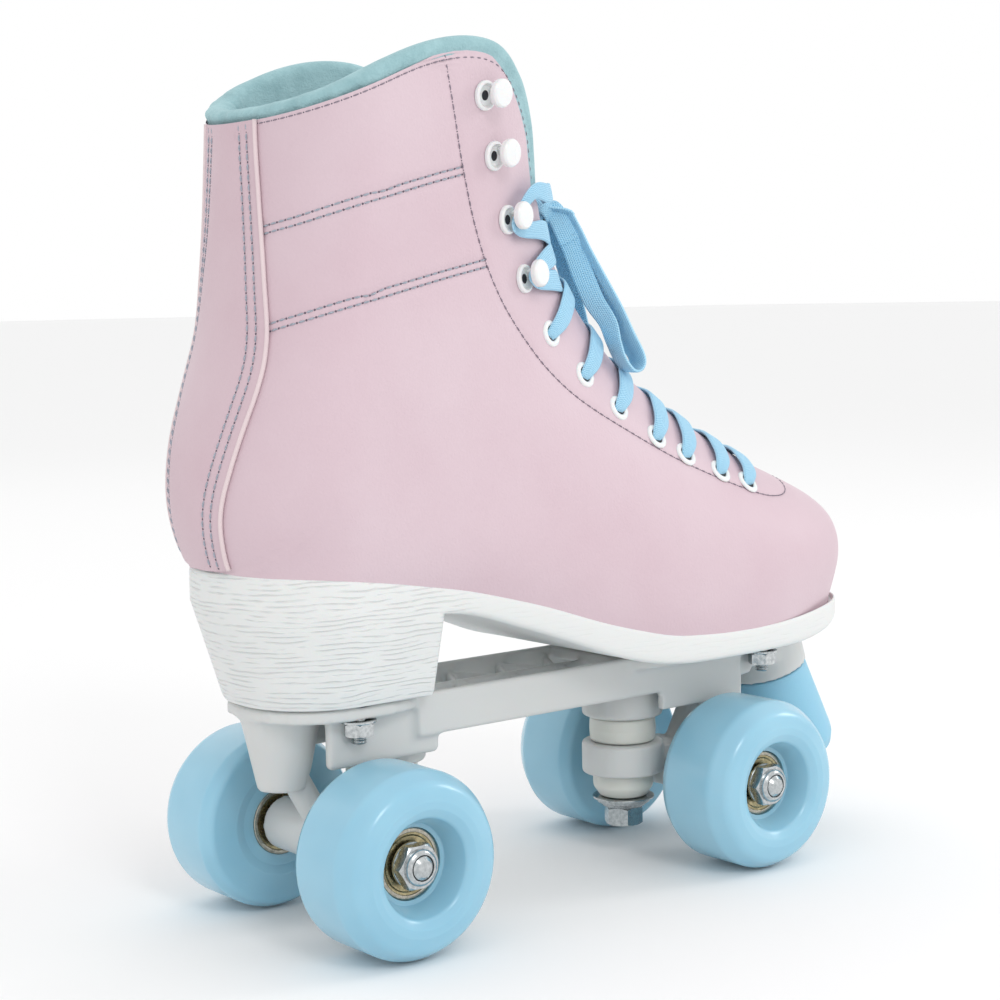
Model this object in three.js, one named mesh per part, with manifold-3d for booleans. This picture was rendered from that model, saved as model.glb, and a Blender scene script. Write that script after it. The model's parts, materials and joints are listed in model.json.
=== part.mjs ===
// One quad roller skate: a high lace-up boot on a moulded sole and plate, with two sprung trucks
// and four wheels. Millimetres. X runs to the toe, Y to the wearer's left, Z up from the floor.
import * as THREE from 'three';
import { mergeVertices } from 'three/addons/utils/BufferGeometryUtils.js';
import Module from 'manifold-3d';

const wasm = await Module();
wasm.setup();

// ---- driving dimensions ----
const wheelbase = 150;
const track = 79; // between the centre planes of a left and a right wheel
const wheelDiameter = 58;
const wheelWidth = 31.6;
const wheelRounding = 7.2;
const bearingDiameter = 22;
const bearingWidth = 7;
const axleDiameter = 8;
const axleNutFlats = 13;
const axleNutHeight = 6.4;
const outerBearingFace = 6; // outboard of the wheel's centre plane
const deckClearance = 16; // from the top of the wheels to the top of the plate
const kingpinOffset = 22.8; // from an axle towards the middle of the skate
const kingpinDiameter = 10;
const hangerTubeDiameter = 17.4;
const hangerRingDiameter = 29;
const hangerRingHeight = 11;
const cushionDiameter = 23.4;
const upperCushionHeight = 8.6;
const lowerCushionHeight = 8.2;
const cupHeight = 3.6;
const kingpinNutFlats = 14;
const kingpinNutHeight = 6.2;
const bossDiameter = 28.6;
const plateThickness = 4.2;
const railDepth = 14;
const railWall = 3;
const plateWidth = 42;
const toeStopDiameter = 38;
const toeStopLength = 35;
const toeStopTilt = 18; // degrees forward of straight down
const screwDiameter = 4.8;
const screwNutFlats = 9;
const bootLength = 268;
const bootWidth = 92;
const bootHeight = 222; // plate to the top of the front line
const leather = 3;
const soleFit = 0.3; // between a piece and the one that it rests on
const laceWidth = 7;
const laceThickness = 1.5;

// ---- sizes that follow ----
const runningFit = 0.2;
const wheelRadius = wheelDiameter / 2;
const axleHeight = wheelRadius;
const plateTop = wheelDiameter + deckClearance;
const halfTrack = track / 2;
const halfWheel = wheelWidth / 2;
const axleRadius = axleDiameter / 2 - runningFit / 2;
const bearingBore = axleDiameter / 2 + runningFit / 2;
const nutFace = halfTrack + outerBearingFace + soleFit;
const axleHalfLength = nutFace + axleNutHeight + 1.2;
const ringMiddle = plateTop - 39; // height of the middle of the hanger's ring
const ringTop = ringMiddle + hangerRingHeight / 2;
const ringBottom = ringMiddle - hangerRingHeight / 2;
const bossBottom = ringTop + upperCushionHeight + 2 * soleFit;
const cupTop = ringBottom - lowerCushionHeight - 2 * soleFit;
const nutTop = cupTop - cupHeight - soleFit;
const kingpinX = wheelbase / 2 - kingpinOffset;
const pivotX = wheelbase / 2 + 11;
const pivotZ = plateTop - 24;
const pivotRadius = 5;
const pivotFit = 0.7;
const fullTurn = Math.PI * 2;

const finishes = {
  pinkLeather: [0xdec9d0, 0.55, 0],
  tealFabric: [0x8dabb0, 0.9, 0],
  whiteSole: [0xe1e3e2, 0.5, 0],
  whitePlastic: [0xcaccc9, 0.45, 0],
  cushionWhite: [0xd6d6cf, 0.6, 0],
  blueUrethane: [0x8cc4dc, 0.25, 0],
  blueLace: [0x7db5db, 0.85, 0],
  blueRubber: [0x8fcbe0, 0.6, 0],
  zinc: [0xb9bcbc, 0.3, 1],
  bearingSteel: [0xa59f86, 0.3, 1],
  enamel: [0xf0f1f1, 0.3, 0],
};

const skate = new THREE.Group();
const deck = new THREE.Group(); // heights measured from the top of the plate
deck.position.z = plateTop;
skate.add(deck);

function addPart(parent, name, geometry, finish) {
  const [color, roughness, metalness] = finishes[finish];
  const mesh = new THREE.Mesh(geometry, new THREE.MeshStandardMaterial({ color, roughness, metalness }));
  mesh.name = name;
  parent.add(mesh);
  return mesh;
}

// ---- solids ----
function bare(geometry) {
  const copy = geometry.clone();
  copy.deleteAttribute('normal');
  copy.deleteAttribute('uv');
  return mergeVertices(copy, 1e-4);
}

function toSolid(geometry) {
  const merged = bare(geometry);
  return new wasm.Manifold(new wasm.Mesh({
    numProp: 3,
    vertProperties: new Float32Array(merged.attributes.position.array),
    triVerts: new Uint32Array(merged.index.array),
  }));
}

function toGeometry(solid) {
  const mesh = solid.getMesh();
  const geometry = new THREE.BufferGeometry();
  geometry.setAttribute('position', new THREE.BufferAttribute(mesh.vertProperties, 3));
  geometry.setIndex(new THREE.BufferAttribute(mesh.triVerts, 1));
  return geometry;
}

function join(...geometries) {
  return toGeometry(geometries.map(toSolid).reduce((all, next) => all.add(next)));
}

function cut(geometry, ...tools) {
  return toGeometry(tools.map(toSolid).reduce((left, next) => left.subtract(next), toSolid(geometry)));
}

// a round bar along Z from low to high
function rod(radius, low, high, sides = 24, topRadius = radius) {
  const bar = new THREE.CylinderGeometry(topRadius, radius, high - low, sides);
  return bar.rotateX(Math.PI / 2).translate(0, 0, (low + high) / 2);
}

// a profile of [radius, height] points, turned about Z; it may be given in either direction
function turned(profile, sides = 28) {
  const area = profile.slice(1).reduce((sum, [r, z], k) => sum + profile[k][0] * z - r * profile[k][1], 0);
  const ordered = area < 0 ? [...profile].reverse() : profile;
  const points = ordered.map(([radius, height]) => new THREE.Vector2(radius, height));
  return new THREE.LatheGeometry(points, sides).rotateX(Math.PI / 2);
}

function ring(inner, outer, low, high, sides = 24, lowOuter = outer) {
  return turned([[inner, low], [lowOuter, low], [outer, high], [inner, high], [inner, low]], sides);
}

function block(x0, x1, y0, y1, z0, z1) {
  const box = new THREE.BoxGeometry(x1 - x0, y1 - y0, z1 - z0);
  return box.translate((x0 + x1) / 2, (y0 + y1) / 2, (z0 + z1) / 2);
}

function hexagon(flats, low, high) {
  return rod(flats / Math.sqrt(3), low, high, 6);
}

// rows of points, each row a closed ring in the same order, capped at both ends
function loft(rings) {
  const count = rings[0].length;
  const positions = rings.flat().flatMap((point) => point.toArray());
  const index = [];
  for (let row = 0; row + 1 < rings.length; row += 1) {
    for (let k = 0; k < count; k += 1) {
      const a = row * count + k;
      const b = row * count + (k + 1) % count;
      index.push(a, b, b + count, a, b + count, a + count);
    }
  }
  for (const [row, outwards] of [[0, false], [rings.length - 1, true]]) {
    for (let k = 1; k + 1 < count; k += 1) {
      const fan = [row * count, row * count + k, row * count + k + 1];
      index.push(...(outwards ? fan : fan.reverse()));
    }
  }
  return facingOut(positions, index);
}

// two grids of points with a border wall between them
function thickSheet(outer, inner) {
  const rows = outer.length;
  const columns = outer[0].length;
  const positions = [...outer.flat(), ...inner.flat()].flatMap((point) => point.toArray());
  const index = [];
  const at = (layer, row, column) => layer * rows * columns + row * columns + column;
  const wall = (r0, c0, r1, c1) => index.push(
    at(0, r0, c0), at(1, r0, c0), at(1, r1, c1), at(0, r0, c0), at(1, r1, c1), at(0, r1, c1));
  for (let row = 0; row + 1 < rows; row += 1) {
    for (let column = 0; column + 1 < columns; column += 1) {
      const corners = [[row, column], [row, column + 1], [row + 1, column + 1], [row + 1, column]];
      const [a, b, c, d] = corners.map(([r, k]) => at(0, r, k));
      const [e, f, g, h] = corners.map(([r, k]) => at(1, r, k));
      index.push(a, b, c, a, c, d, e, g, f, e, h, g);
    }
    wall(row + 1, 0, row, 0);
    wall(row, columns - 1, row + 1, columns - 1);
  }
  for (let column = 0; column + 1 < columns; column += 1) {
    wall(0, column, 0, column + 1);
    wall(rows - 1, column + 1, rows - 1, column);
  }
  return facingOut(positions, index);
}

function facingOut(positions, index) {
  const point = (k) => new THREE.Vector3().fromArray(positions, 3 * k);
  let volume = 0;
  for (let k = 0; k < index.length; k += 3) {
    volume += point(index[k]).dot(point(index[k + 1]).cross(point(index[k + 2])));
  }
  const geometry = new THREE.BufferGeometry();
  geometry.setAttribute('position', new THREE.Float32BufferAttribute(positions, 3));
  geometry.setIndex(volume > 0 ? index : index.reverse());
  return geometry;
}

// smooth curve through a table's rows, or straight lines between them
function smooth(rows, along) {
  const last = rows.length - 1;
  const place = Math.min(Math.max(along, 0), last);
  const k = Math.min(Math.floor(place), last - 1);
  const t = place - k;
  return rows[0].map((_, n) => {
    const p1 = rows[k][n];
    const p2 = rows[k + 1][n];
    const p0 = k > 0 ? rows[k - 1][n] : 2 * p1 - p2;
    const p3 = k + 2 <= last ? rows[k + 2][n] : 2 * p2 - p1;
    const bend = (-p0 + 3 * p1 - 3 * p2 + p3) * t + (2 * p0 - 5 * p1 + 4 * p2 - p3);
    return 0.5 * (2 * p1 + (p2 - p0) * t + bend * t * t);
  });
}

function straight(points, x) {
  const next = Math.max(1, points.findIndex(([limit]) => limit >= x));
  const k = points.at(-1)[0] < x ? points.length - 1 : next;
  const t = Math.min(1, Math.max(0, (x - points[k - 1][0]) / (points[k][0] - points[k - 1][0])));
  return points[k - 1][1] + t * (points[k][1] - points[k - 1][1]);
}

const steps = (from, to, count) => Array.from(
  { length: count + 1 },
  (_, k) => from + (to - from) * k / count,
);

// ---- the boot's form ----
// Each rib is a slanted section: front x, z; back x, z; half width; the share of the way back at
// which it is widest; how square its front and its back are. The first is at the toe.
const ribs = [
  [150, 22, 147, 13.4, 0.4, 0.55, 2, 2],
  [148.3, 35.2, 141.5, 12.4, 15.5, 0.62, 2, 2],
  [143, 44.2, 132, 11.3, 25.5, 0.66, 2.15, 2],
  [132.5, 50.6, 116, 10, 34.5, 0.68, 2.2, 2],
  [118.5, 57, 99, 8.6, 41, 0.7, 2.15, 2],
  [103.5, 63.5, 80, 7.8, 44.5, 0.72, 2.05, 2],
  [89, 71, 58, 8, 46, 0.74, 2, 2],
  [72.5, 80.5, 36, 9.6, 46, 0.76, 1.9, 2],
  [57, 91, 12, 15.7, 43.5, 0.77, 1.85, 2],
  [43, 102.5, -14, 24.6, 40.5, 0.77, 1.85, 2],
  [31.5, 115.5, -40, 31.6, 38, 0.77, 1.9, 2],
  [22.5, 128, -66, 36.2, 36.5, 0.77, 2, 2.1],
  [16.5, 138.5, -86, 39.2, 36.3, 0.76, 2.1, 2.2],
  [12.8, 147, -100, 40.4, 36.5, 0.75, 2.2, 2.3],
  [10.5, 153.5, -109.5, 41, 36.7, 0.74, 2.3, 2.3],
  [9, 159, -114.4, 43.5, 36.8, 0.74, 2.4, 2.3],
  [7.2, 164, -118.2, 57, 36.8, 0.74, 2.5, 2.3],
  [6.5, 172, -117.5, 73, 36.4, 0.74, 2.6, 2.3],
  [6, 180, -112.6, 91, 36, 0.74, 2.7, 2.3],
  [5.5, 188, -106.6, 109, 36.2, 0.74, 2.8, 2.3],
  [5.2, 196, -103.4, 127, 37, 0.74, 2.9, 2.3],
  [5, 205, -100.8, 148, 38.6, 0.74, 3, 2.3],
  [5, 222, -98.6, 180, 41, 0.74, 3.1, 2.3],
];
const drawnLength = 268.2;
const drawnWidth = 92;
const drawnHeight = 222;
const lengthRatio = bootLength / drawnLength;
const widthRatio = bootWidth / drawnWidth;
const heightRatio = bootHeight / drawnHeight;
const heelRib = 15; // behind it a rib closes round the heel, before it a rib stands on the sole
const topRib = 21.88;
const vampRib = 4.8;
const ribsWithSquares = ribs.map((row) => row.map((value, n) => (n === 4 ? value * value : value)));

// half the sole's width at x
function footHalf(x) {
  if (x < -80.5) return 32 * Math.max(0, 1 - (Math.abs(x + 80.5) / 33.5) ** 2.2) ** (1 / 2.2);
  if (x > 60) return 44 * Math.max(0, 1 - ((x - 60) / 87) ** 2.3) ** (1 / 2.2);
  return 32 + 12 * THREE.MathUtils.smoothstep(x, -60, 60);
}

// a point of the boot's outer face, on the right side: share 0 at the front line, 1 at the back
function drawnPoint(rib, share) {
  const row = smooth(ribsWithSquares, rib);
  const [frontX, frontZ, backX, backZ, square, widest, frontPower, backPower] = row;
  const half = Math.sqrt(Math.max(square, 0.16));
  const foot = Math.min(rib < heelRib ? footHalf(backX) : 0, 0.97 * half);
  const frontShare = 0.55;
  let width;
  let along;
  if (share < frontShare) {
    const angle = share / frontShare * Math.PI / 2;
    width = half * Math.sin(angle) ** (2 / frontPower);
    along = widest * (1 - Math.cos(angle) ** (2 / frontPower));
  } else {
    const reach = (1 - (foot / half) ** backPower) ** (1 / backPower);
    const angle = (share - frontShare) / (1 - frontShare) * Math.asin(Math.min(1, reach ** (backPower / 2)));
    width = half * Math.max(0, Math.cos(angle)) ** (2 / backPower);
    along = widest + (1 - widest) * Math.sin(angle) ** (2 / backPower) / reach;
  }
  return new THREE.Vector3(frontX + (backX - frontX) * along, -width, frontZ + (backZ - frontZ) * along);
}

// share below 0 is the left side; inset is measured inwards from the outer face
function bootPoint(rib, share, inset = 0) {
  const side = share < 0 ? -1 : 1;
  const size = new THREE.Vector3(lengthRatio, side * widthRatio, heightRatio);
  const place = (r, s) => drawnPoint(r, s).multiply(size);
  const way = Math.abs(share);
  const nudge = 0.01;
  const [s0, s1] = [Math.max(0, way - nudge), Math.min(1, way + nudge)];
  const [r0, r1] = [Math.max(0.01, rib - nudge * 5), Math.min(22, rib + nudge * 5)];
  const across = place(rib, s1).sub(place(rib, s0));
  const up = place(r1, way).sub(place(r0, way));
  const normal = across.cross(up).multiplyScalar(-side).normalize();
  if (way === 0 || (way === 1 && rib >= heelRib)) normal.setY(0).normalize();
  return { point: place(rib, way).addScaledVector(normal, -inset), normal };
}

// the throat's edge and the backstay's edge, as [rib, share]
const throatEdge = [
  [4.9, 0.01], [5.2, 0.05], [5.6, 0.075], [6.3, 0.09], [7.5, 0.1], [11, 0.11], [14.4, 0.13],
  [16.4, 0.176], [18.3, 0.222], [19.8, 0.285], [20.8, 0.336], [21.4, 0.389], [21.65, 0.428],
  [21.8, 0.473], [21.88, 0.52],
];
const backstayEdge = [
  [14.6, 1], [14.95, 0.925], [16.3, 0.904], [17, 0.872], [18.3, 0.832], [19.1, 0.85], [20.8, 0.908],
  [22, 0.952],
];
const soleTopLine = [
  [-114.4, 42], [-90, 39.6], [-69, 36.8], [-40, 31.6], [-14, 24.6], [12, 15.7], [36, 9.6], [58, 8],
  [80, 7.8], [99, 8.6], [116, 10], [132, 11.3], [147, 13.4],
];
const soleBottomLine = [
  [-114.4, 32.5], [-49, 26.3], [-37, 24.2], [-11, 15.2], [16, 4.9], [30, 1.4], [44, 0], [104, 0],
  [125, 2], [147, 6],
];
const soleTop = (x) => straight(soleTopLine, x);
const soleBottom = (x) => straight(soleBottomLine, x);

const panelRibs = [4.9, 5.2, 5.6, 6.3, 7, 8, 9, 10, 11, 12, 13, 14, 14.6, 14.95, 15.5, 16, 16.6, 17.3, 18,
  18.7, 19.4, 20.1, 20.8, 21.4, 21.65, 21.8, topRib];

function panel(rows, from, to, columns, outerInset, innerInset) {
  const grid = (inset) => rows.map((rib) => steps(from(rib), to(rib), columns)
    .map((share) => bootPoint(rib, share, inset).point));
  return thickSheet(grid(outerInset), grid(innerInset));
}

function addUppers() {
  const vampRows = [0, 0.08, 0.3, 0.7, 1.3, 2, 3, 4, vampRib];
  addPart(deck, 'vamp', panel(vampRows, () => -1, () => 1, 20, 0, leather), 'pinkLeather');
  const seamGap = 0.012;
  for (const [name, side] of [['right', 1], ['left', -1]]) {
    const front = (rib) => side * straight(throatEdge, rib);
    const back = (rib) => side * straight(backstayEdge, rib);
    addPart(deck, `quarter_${name}`, panel(panelRibs, front, back, 9, 0, leather), 'pinkLeather');
  }
  const heelRows = panelRibs.filter((rib) => rib > 14.9);
  const edge = (rib) => straight(backstayEdge, rib) + seamGap;
  const halves = (inset) => heelRows.map((rib) => {
    const right = steps(edge(rib), 1, 4).map((share) => bootPoint(rib, share, inset).point);
    const left = steps(-1, -edge(rib), 4).slice(1).map((share) => bootPoint(rib, share, inset).point);
    return [...right, ...left];
  });
  addPart(deck, 'backstay', thickSheet(halves(0), halves(leather)), 'pinkLeather');

  const liningRows = panelRibs.filter((rib) => rib > 15.2 && rib < 21.3);
  const liningEdge = (rib) => straight(throatEdge, rib) + 0.1;
  const lining = (inset) => liningRows.map((rib) => {
    const right = steps(liningEdge(rib), 1, 8).map((share) => bootPoint(rib, share, inset).point);
    const left = steps(-1, -liningEdge(rib), 8).slice(1).map((share) => bootPoint(rib, share, inset).point);
    return [...right, ...left];
  });
  addPart(deck, 'lining', thickSheet(lining(leather + 0.6), lining(leather + 2.4)), 'tealFabric');
}

// the padded roll that follows the top line and runs thin down the front edges
function addCollar() {
  const frontEdge = [16.4, 17.3, 18.3, 19.8, 20.8, 21.4, 21.65, 21.8];
  const half = [
    ...frontEdge.map((rib) => {
      const share = straight(throatEdge, rib);
      return { rib, share, in: [rib, share + 0.05] };
    }),
    ...[0.52, 0.6, 0.68, 0.76, 0.84, 0.92, 1].map((share) => ({ rib: topRib, share, in: [21.35, share] })),
  ];
  half[6].in = [21.4, 0.47];
  half[7].in = [21.35, 0.51];
  half[8].in = [21.35, 0.55];
  const fullness = (k) => THREE.MathUtils.lerp(0.36, 1, THREE.MathUtils.smoothstep(k, 3, 12));
  const stations = half.map((station, k) => ({ ...station, full: fullness(k), side: 1 }));
  const mirrored = stations.slice(0, -1).reverse().map((station) => ({ ...station, side: -1 }));
  const path = [...stations, ...mirrored];
  const border = path.map(({ rib, share, side }) => bootPoint(rib, side * share));
  const rings = path.map(({ in: [inRib, inShare], full, side }, k) => {
    const { point, normal } = border[k];
    const tangent = border[Math.min(k + 1, path.length - 1)].point.clone()
      .sub(border[Math.max(k - 1, 0)].point).normalize();
    const beyond = tangent.clone().cross(normal).normalize();
    if (beyond.z < 0) beyond.negate();
    const skirt = bootPoint(inRib, side * inShare);
    const at = (out, over) => point.clone().addScaledVector(normal, out).addScaledVector(beyond, over);
    const thick = leather + 0.6 + 6.4 * full;
    const under = (depth) => skirt.point.clone().addScaledVector(skirt.normal, -depth);
    const wall = leather + 0.6;
    return [
      at(-wall, 0.5), at(-0.4, 0.5), at(0.4, 2.6 * full + 0.6), at(-1.4, 5.6 * full + 0.6),
      at(-thick / 2, 6.6 * full + 0.8), at(-thick * 0.85, 4.6 * full + 0.6), at(-thick, 0.5),
      under(wall + 4.4 * full + 0.4), under(wall),
    ];
  });
  addPart(deck, 'collar', loft(rings), 'tealFabric');
}

function addTongue() {
  const rows = steps(5.7, 18.8, 16);
  const depth = (rib) => leather + 1.2 + 5.8 * THREE.MathUtils.smoothstep(rib, 8, 16);
  const grid = (more) => rows.map((rib) => steps(-0.3, 0.3, 8)
    .map((share) => bootPoint(rib, share, depth(rib) + more).point));
  addPart(deck, 'tongue', thickSheet(grid(0), grid(3)), 'pinkLeather');
}

function addFootbed() {
  const heelSeat = 46;
  const wallRoom = leather + 2.5;
  const stations = [-106, -100, -92, -80, -66, -52, -40, -28, -14, 0, 14, 30, 46, 62, 80, 96, 108, 118, 124];
  const rings = stations.map((x) => {
    const half = Math.max(3, footHalf(x) - wallRoom - 5 * THREE.MathUtils.smoothstep(x, 70, 124));
    const low = soleTop(x) + soleFit;
    const high = x < -50 ? heelSeat : low + Math.max(4, heelSeat - soleTop(-52) - 10 + (-40 - x) * 0.2);
    const corner = (y, z) => new THREE.Vector3(x * lengthRatio, y * widthRatio, z * heightRatio);
    return [corner(-half, low), corner(half, low), corner(half, high), corner(-half, high)];
  });
  addPart(deck, 'insole', loft(rings), 'tealFabric');
}

const screwPlaces = [
  ['front_left', 100, 1], ['front_right', 100, -1], ['rear_left', -76, 1], ['rear_right', -76, -1],
];
const screwY = plateWidth / 2 + 1;
const screwTop = 5;
const screwHoles = () => screwPlaces.map(([, x, side]) => (
  rod(screwDiameter / 2 + soleFit, -30, screwTop + soleFit, 12).translate(x, side * screwY, 0)));

function addSole() {
  const half = 28;
  const ends = [-113.9, 146.9];
  const middle = (ends[0] + ends[1]) / 2;
  const reach = (ends[1] - ends[0]) / 2;
  const stations = steps(Math.PI, 0, half).map((angle) => middle + reach * Math.cos(angle));
  const rings = stations.map((x) => {
    const width = Math.max(1.5, footHalf(x)) * widthRatio;
    const top = (soleTop(x) - 2 * soleFit) * heightRatio;
    const bottom = soleBottom(x) + soleFit;
    const corner = (y, z) => new THREE.Vector3(x * lengthRatio, y, z);
    return [corner(-width, bottom + 1), corner(-width + 1, bottom), corner(width - 1, bottom),
      corner(width, bottom + 1), corner(width, top), corner(-width, top)];
  });
  addPart(deck, 'outsole', cut(loft(rings), ...screwHoles()), 'whiteSole');
}

function addHeel() {
  const outline = (back, front, width, height) => {
    const radius = width;
    const round = steps(Math.PI / 2, Math.PI * 1.5, 12).map((angle) => (
      [back + radius + radius * Math.cos(angle), width * Math.sin(angle)]));
    return [...round, [front, -width], [front, width]].map(([x, y]) => (
      new THREE.Vector3(x * lengthRatio, y * widthRatio, height(x))));
  };
  const foot = outline(-103.6, -50, 27, () => soleFit);
  const seat = outline(-113.6, -49, 32.3, (x) => soleBottom(x));
  const rings = [0, 0.5, 1].map((t) => foot.map((point, k) => point.clone().lerp(seat[k], t)));
  addPart(deck, 'heel_block', cut(loft(rings), ...screwHoles()), 'whiteSole');
}

// ---- the plate ----
const toeStopX = wheelbase / 2 + 49;
const toeStopTop = -16.5;
const tilt = THREE.MathUtils.degToRad(toeStopTilt);
const tilted = (geometry) => geometry.rotateY(-tilt).translate(toeStopX, 0, toeStopTop);

function plateOutline(points, low, high) {
  const shape = new THREE.Shape(points.map(([x, y]) => new THREE.Vector2(x, y)));
  return new THREE.ExtrudeGeometry(shape, { depth: high - low, bevelEnabled: false }).translate(0, 0, low);
}

function flange(x0, x1, half, corner) {
  const turn = (x, y, from) => steps(from, from + Math.PI / 2, 4).map((angle) => (
    [x + corner * Math.cos(angle), y + corner * Math.sin(angle)]));
  return plateOutline([
    ...turn(x1 - corner, half - corner, 0), ...turn(x0 + corner, half - corner, Math.PI / 2),
    ...turn(x0 + corner, corner - half, Math.PI), ...turn(x1 - corner, corner - half, Math.PI * 1.5),
  ], -plateThickness, 0);
}

function pivotAim(side) {
  // the hanger's nose points up and away from the middle of the skate
  return Math.atan2(16, side * 9);
}

function addPlate() {
  const half = plateWidth / 2;
  const rearEnd = -kingpinX - 51;
  const frontEnd = toeStopX - 4;
  const rearFlange = flange(rearEnd, -kingpinX + 8, half + 5, 22);
  const frontFlange = flange(kingpinX - 18, frontEnd, half + 5, 14);
  const rails = [-1, 1].map((side) => block(
    -kingpinX, kingpinX, Math.min(side * half, side * (half - railWall)),
    Math.max(side * half, side * (half - railWall)), -railDepth, 0));
  const bays = 3;
  const bay = (kingpinX * 2 - 40) / bays;
  const ribThickness = 2;
  const webs = [];
  for (let k = 0; k < bays; k += 1) {
    const middle = -kingpinX + 20 + bay * (k + 0.5);
    const span = Math.hypot(bay, plateWidth - 2 * railWall);
    for (const side of [-1, 1]) {
      const angle = side * Math.atan2(plateWidth - 2 * railWall, bay);
      webs.push(block(-span / 2, span / 2, -ribThickness / 2, ribThickness / 2, -9, -3)
        .rotateZ(angle).translate(middle, 0, 0));
    }
  }
  const spine = block(-kingpinX, kingpinX, -1.2, 1.2, -10, -2.5);
  const bossLow = bossBottom - plateTop;
  const bosses = [-1, 1].flatMap((side) => [
    rod(bossDiameter / 2, bossLow, -1, 28).translate(side * kingpinX, 0, 0),
    rod(7.8, -27.5, -1, 24, 13.4).translate(side * (pivotX + 4), 0, 0),
  ]);
  const frontRails = [-1, 1].map((side) => block(
    kingpinX, screwPlaces[0][1] - screwNutFlats, Math.min(side * half, side * (half - railWall)),
    Math.max(side * half, side * (half - railWall)), -20, -1));
  const nose = tilted(rod(toeStopDiameter * 0.42, 0, 22, 28));
  const above = block(-300, 300, -80, 80, 0, 60);
  const aim = (side) => {
    const pocket = new THREE.SphereGeometry(pivotRadius + pivotFit, 16, 8);
    const way = rod(pivotRadius + pivotFit, -30, 0, 16).rotateY(Math.PI / 2 - pivotAim(side));
    return [pocket, way].map((tool) => tool.translate(side * pivotX, 0, pivotZ - plateTop));
  };
  const bores = [-1, 1].flatMap((side) => [
    rod(kingpinDiameter / 2 + soleFit, -60, -3, 20).translate(side * kingpinX, 0, 0),
    ...aim(side),
  ]);
  const stopBolt = tilted(rod(4 + soleFit, -10, 12, 16));
  const body = join(rearFlange, frontFlange, ...rails, ...webs, spine, ...bosses, ...frontRails, nose);
  const plate = cut(body, above, ...bores, stopBolt, ...screwHoles());
  addPart(deck, 'plate', plate, 'whitePlastic');
}

function addToeStop() {
  const wide = toeStopDiameter / 2;
  const profile = [
    [4 + soleFit, -soleFit], [wide * 0.82, -soleFit], [wide * 0.92, -toeStopLength * 0.45],
    [wide, -toeStopLength + 6], [wide - 1.5, -toeStopLength + 1.5], [wide - 4, -toeStopLength],
    [8, -toeStopLength], [8, -toeStopLength + 9], [4 + soleFit, -toeStopLength + 9], [4 + soleFit, -soleFit],
  ];
  addPart(deck, 'toe_stop', tilted(turned(profile, 28)), 'blueRubber');
  const head = hexagon(12, -toeStopLength + 2.5, -toeStopLength + 8.7);
  const shank = rod(4, -toeStopLength + 5, 11, 16);
  addPart(deck, 'toe_stop_bolt', tilted(join(head, shank)), 'zinc');
}

function addScrews() {
  const nutTopZ = -plateThickness - soleFit;
  for (const [name, x, side] of screwPlaces) {
    const shank = rod(screwDiameter / 2, nutTopZ - 7, screwTop, 12);
    const nut = hexagon(screwNutFlats, nutTopZ - 4.4, nutTopZ);
    addPart(deck, `mounting_screw_${name}`, join(shank, nut).translate(x, side * screwY, 0), 'zinc');
  }
}

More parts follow.
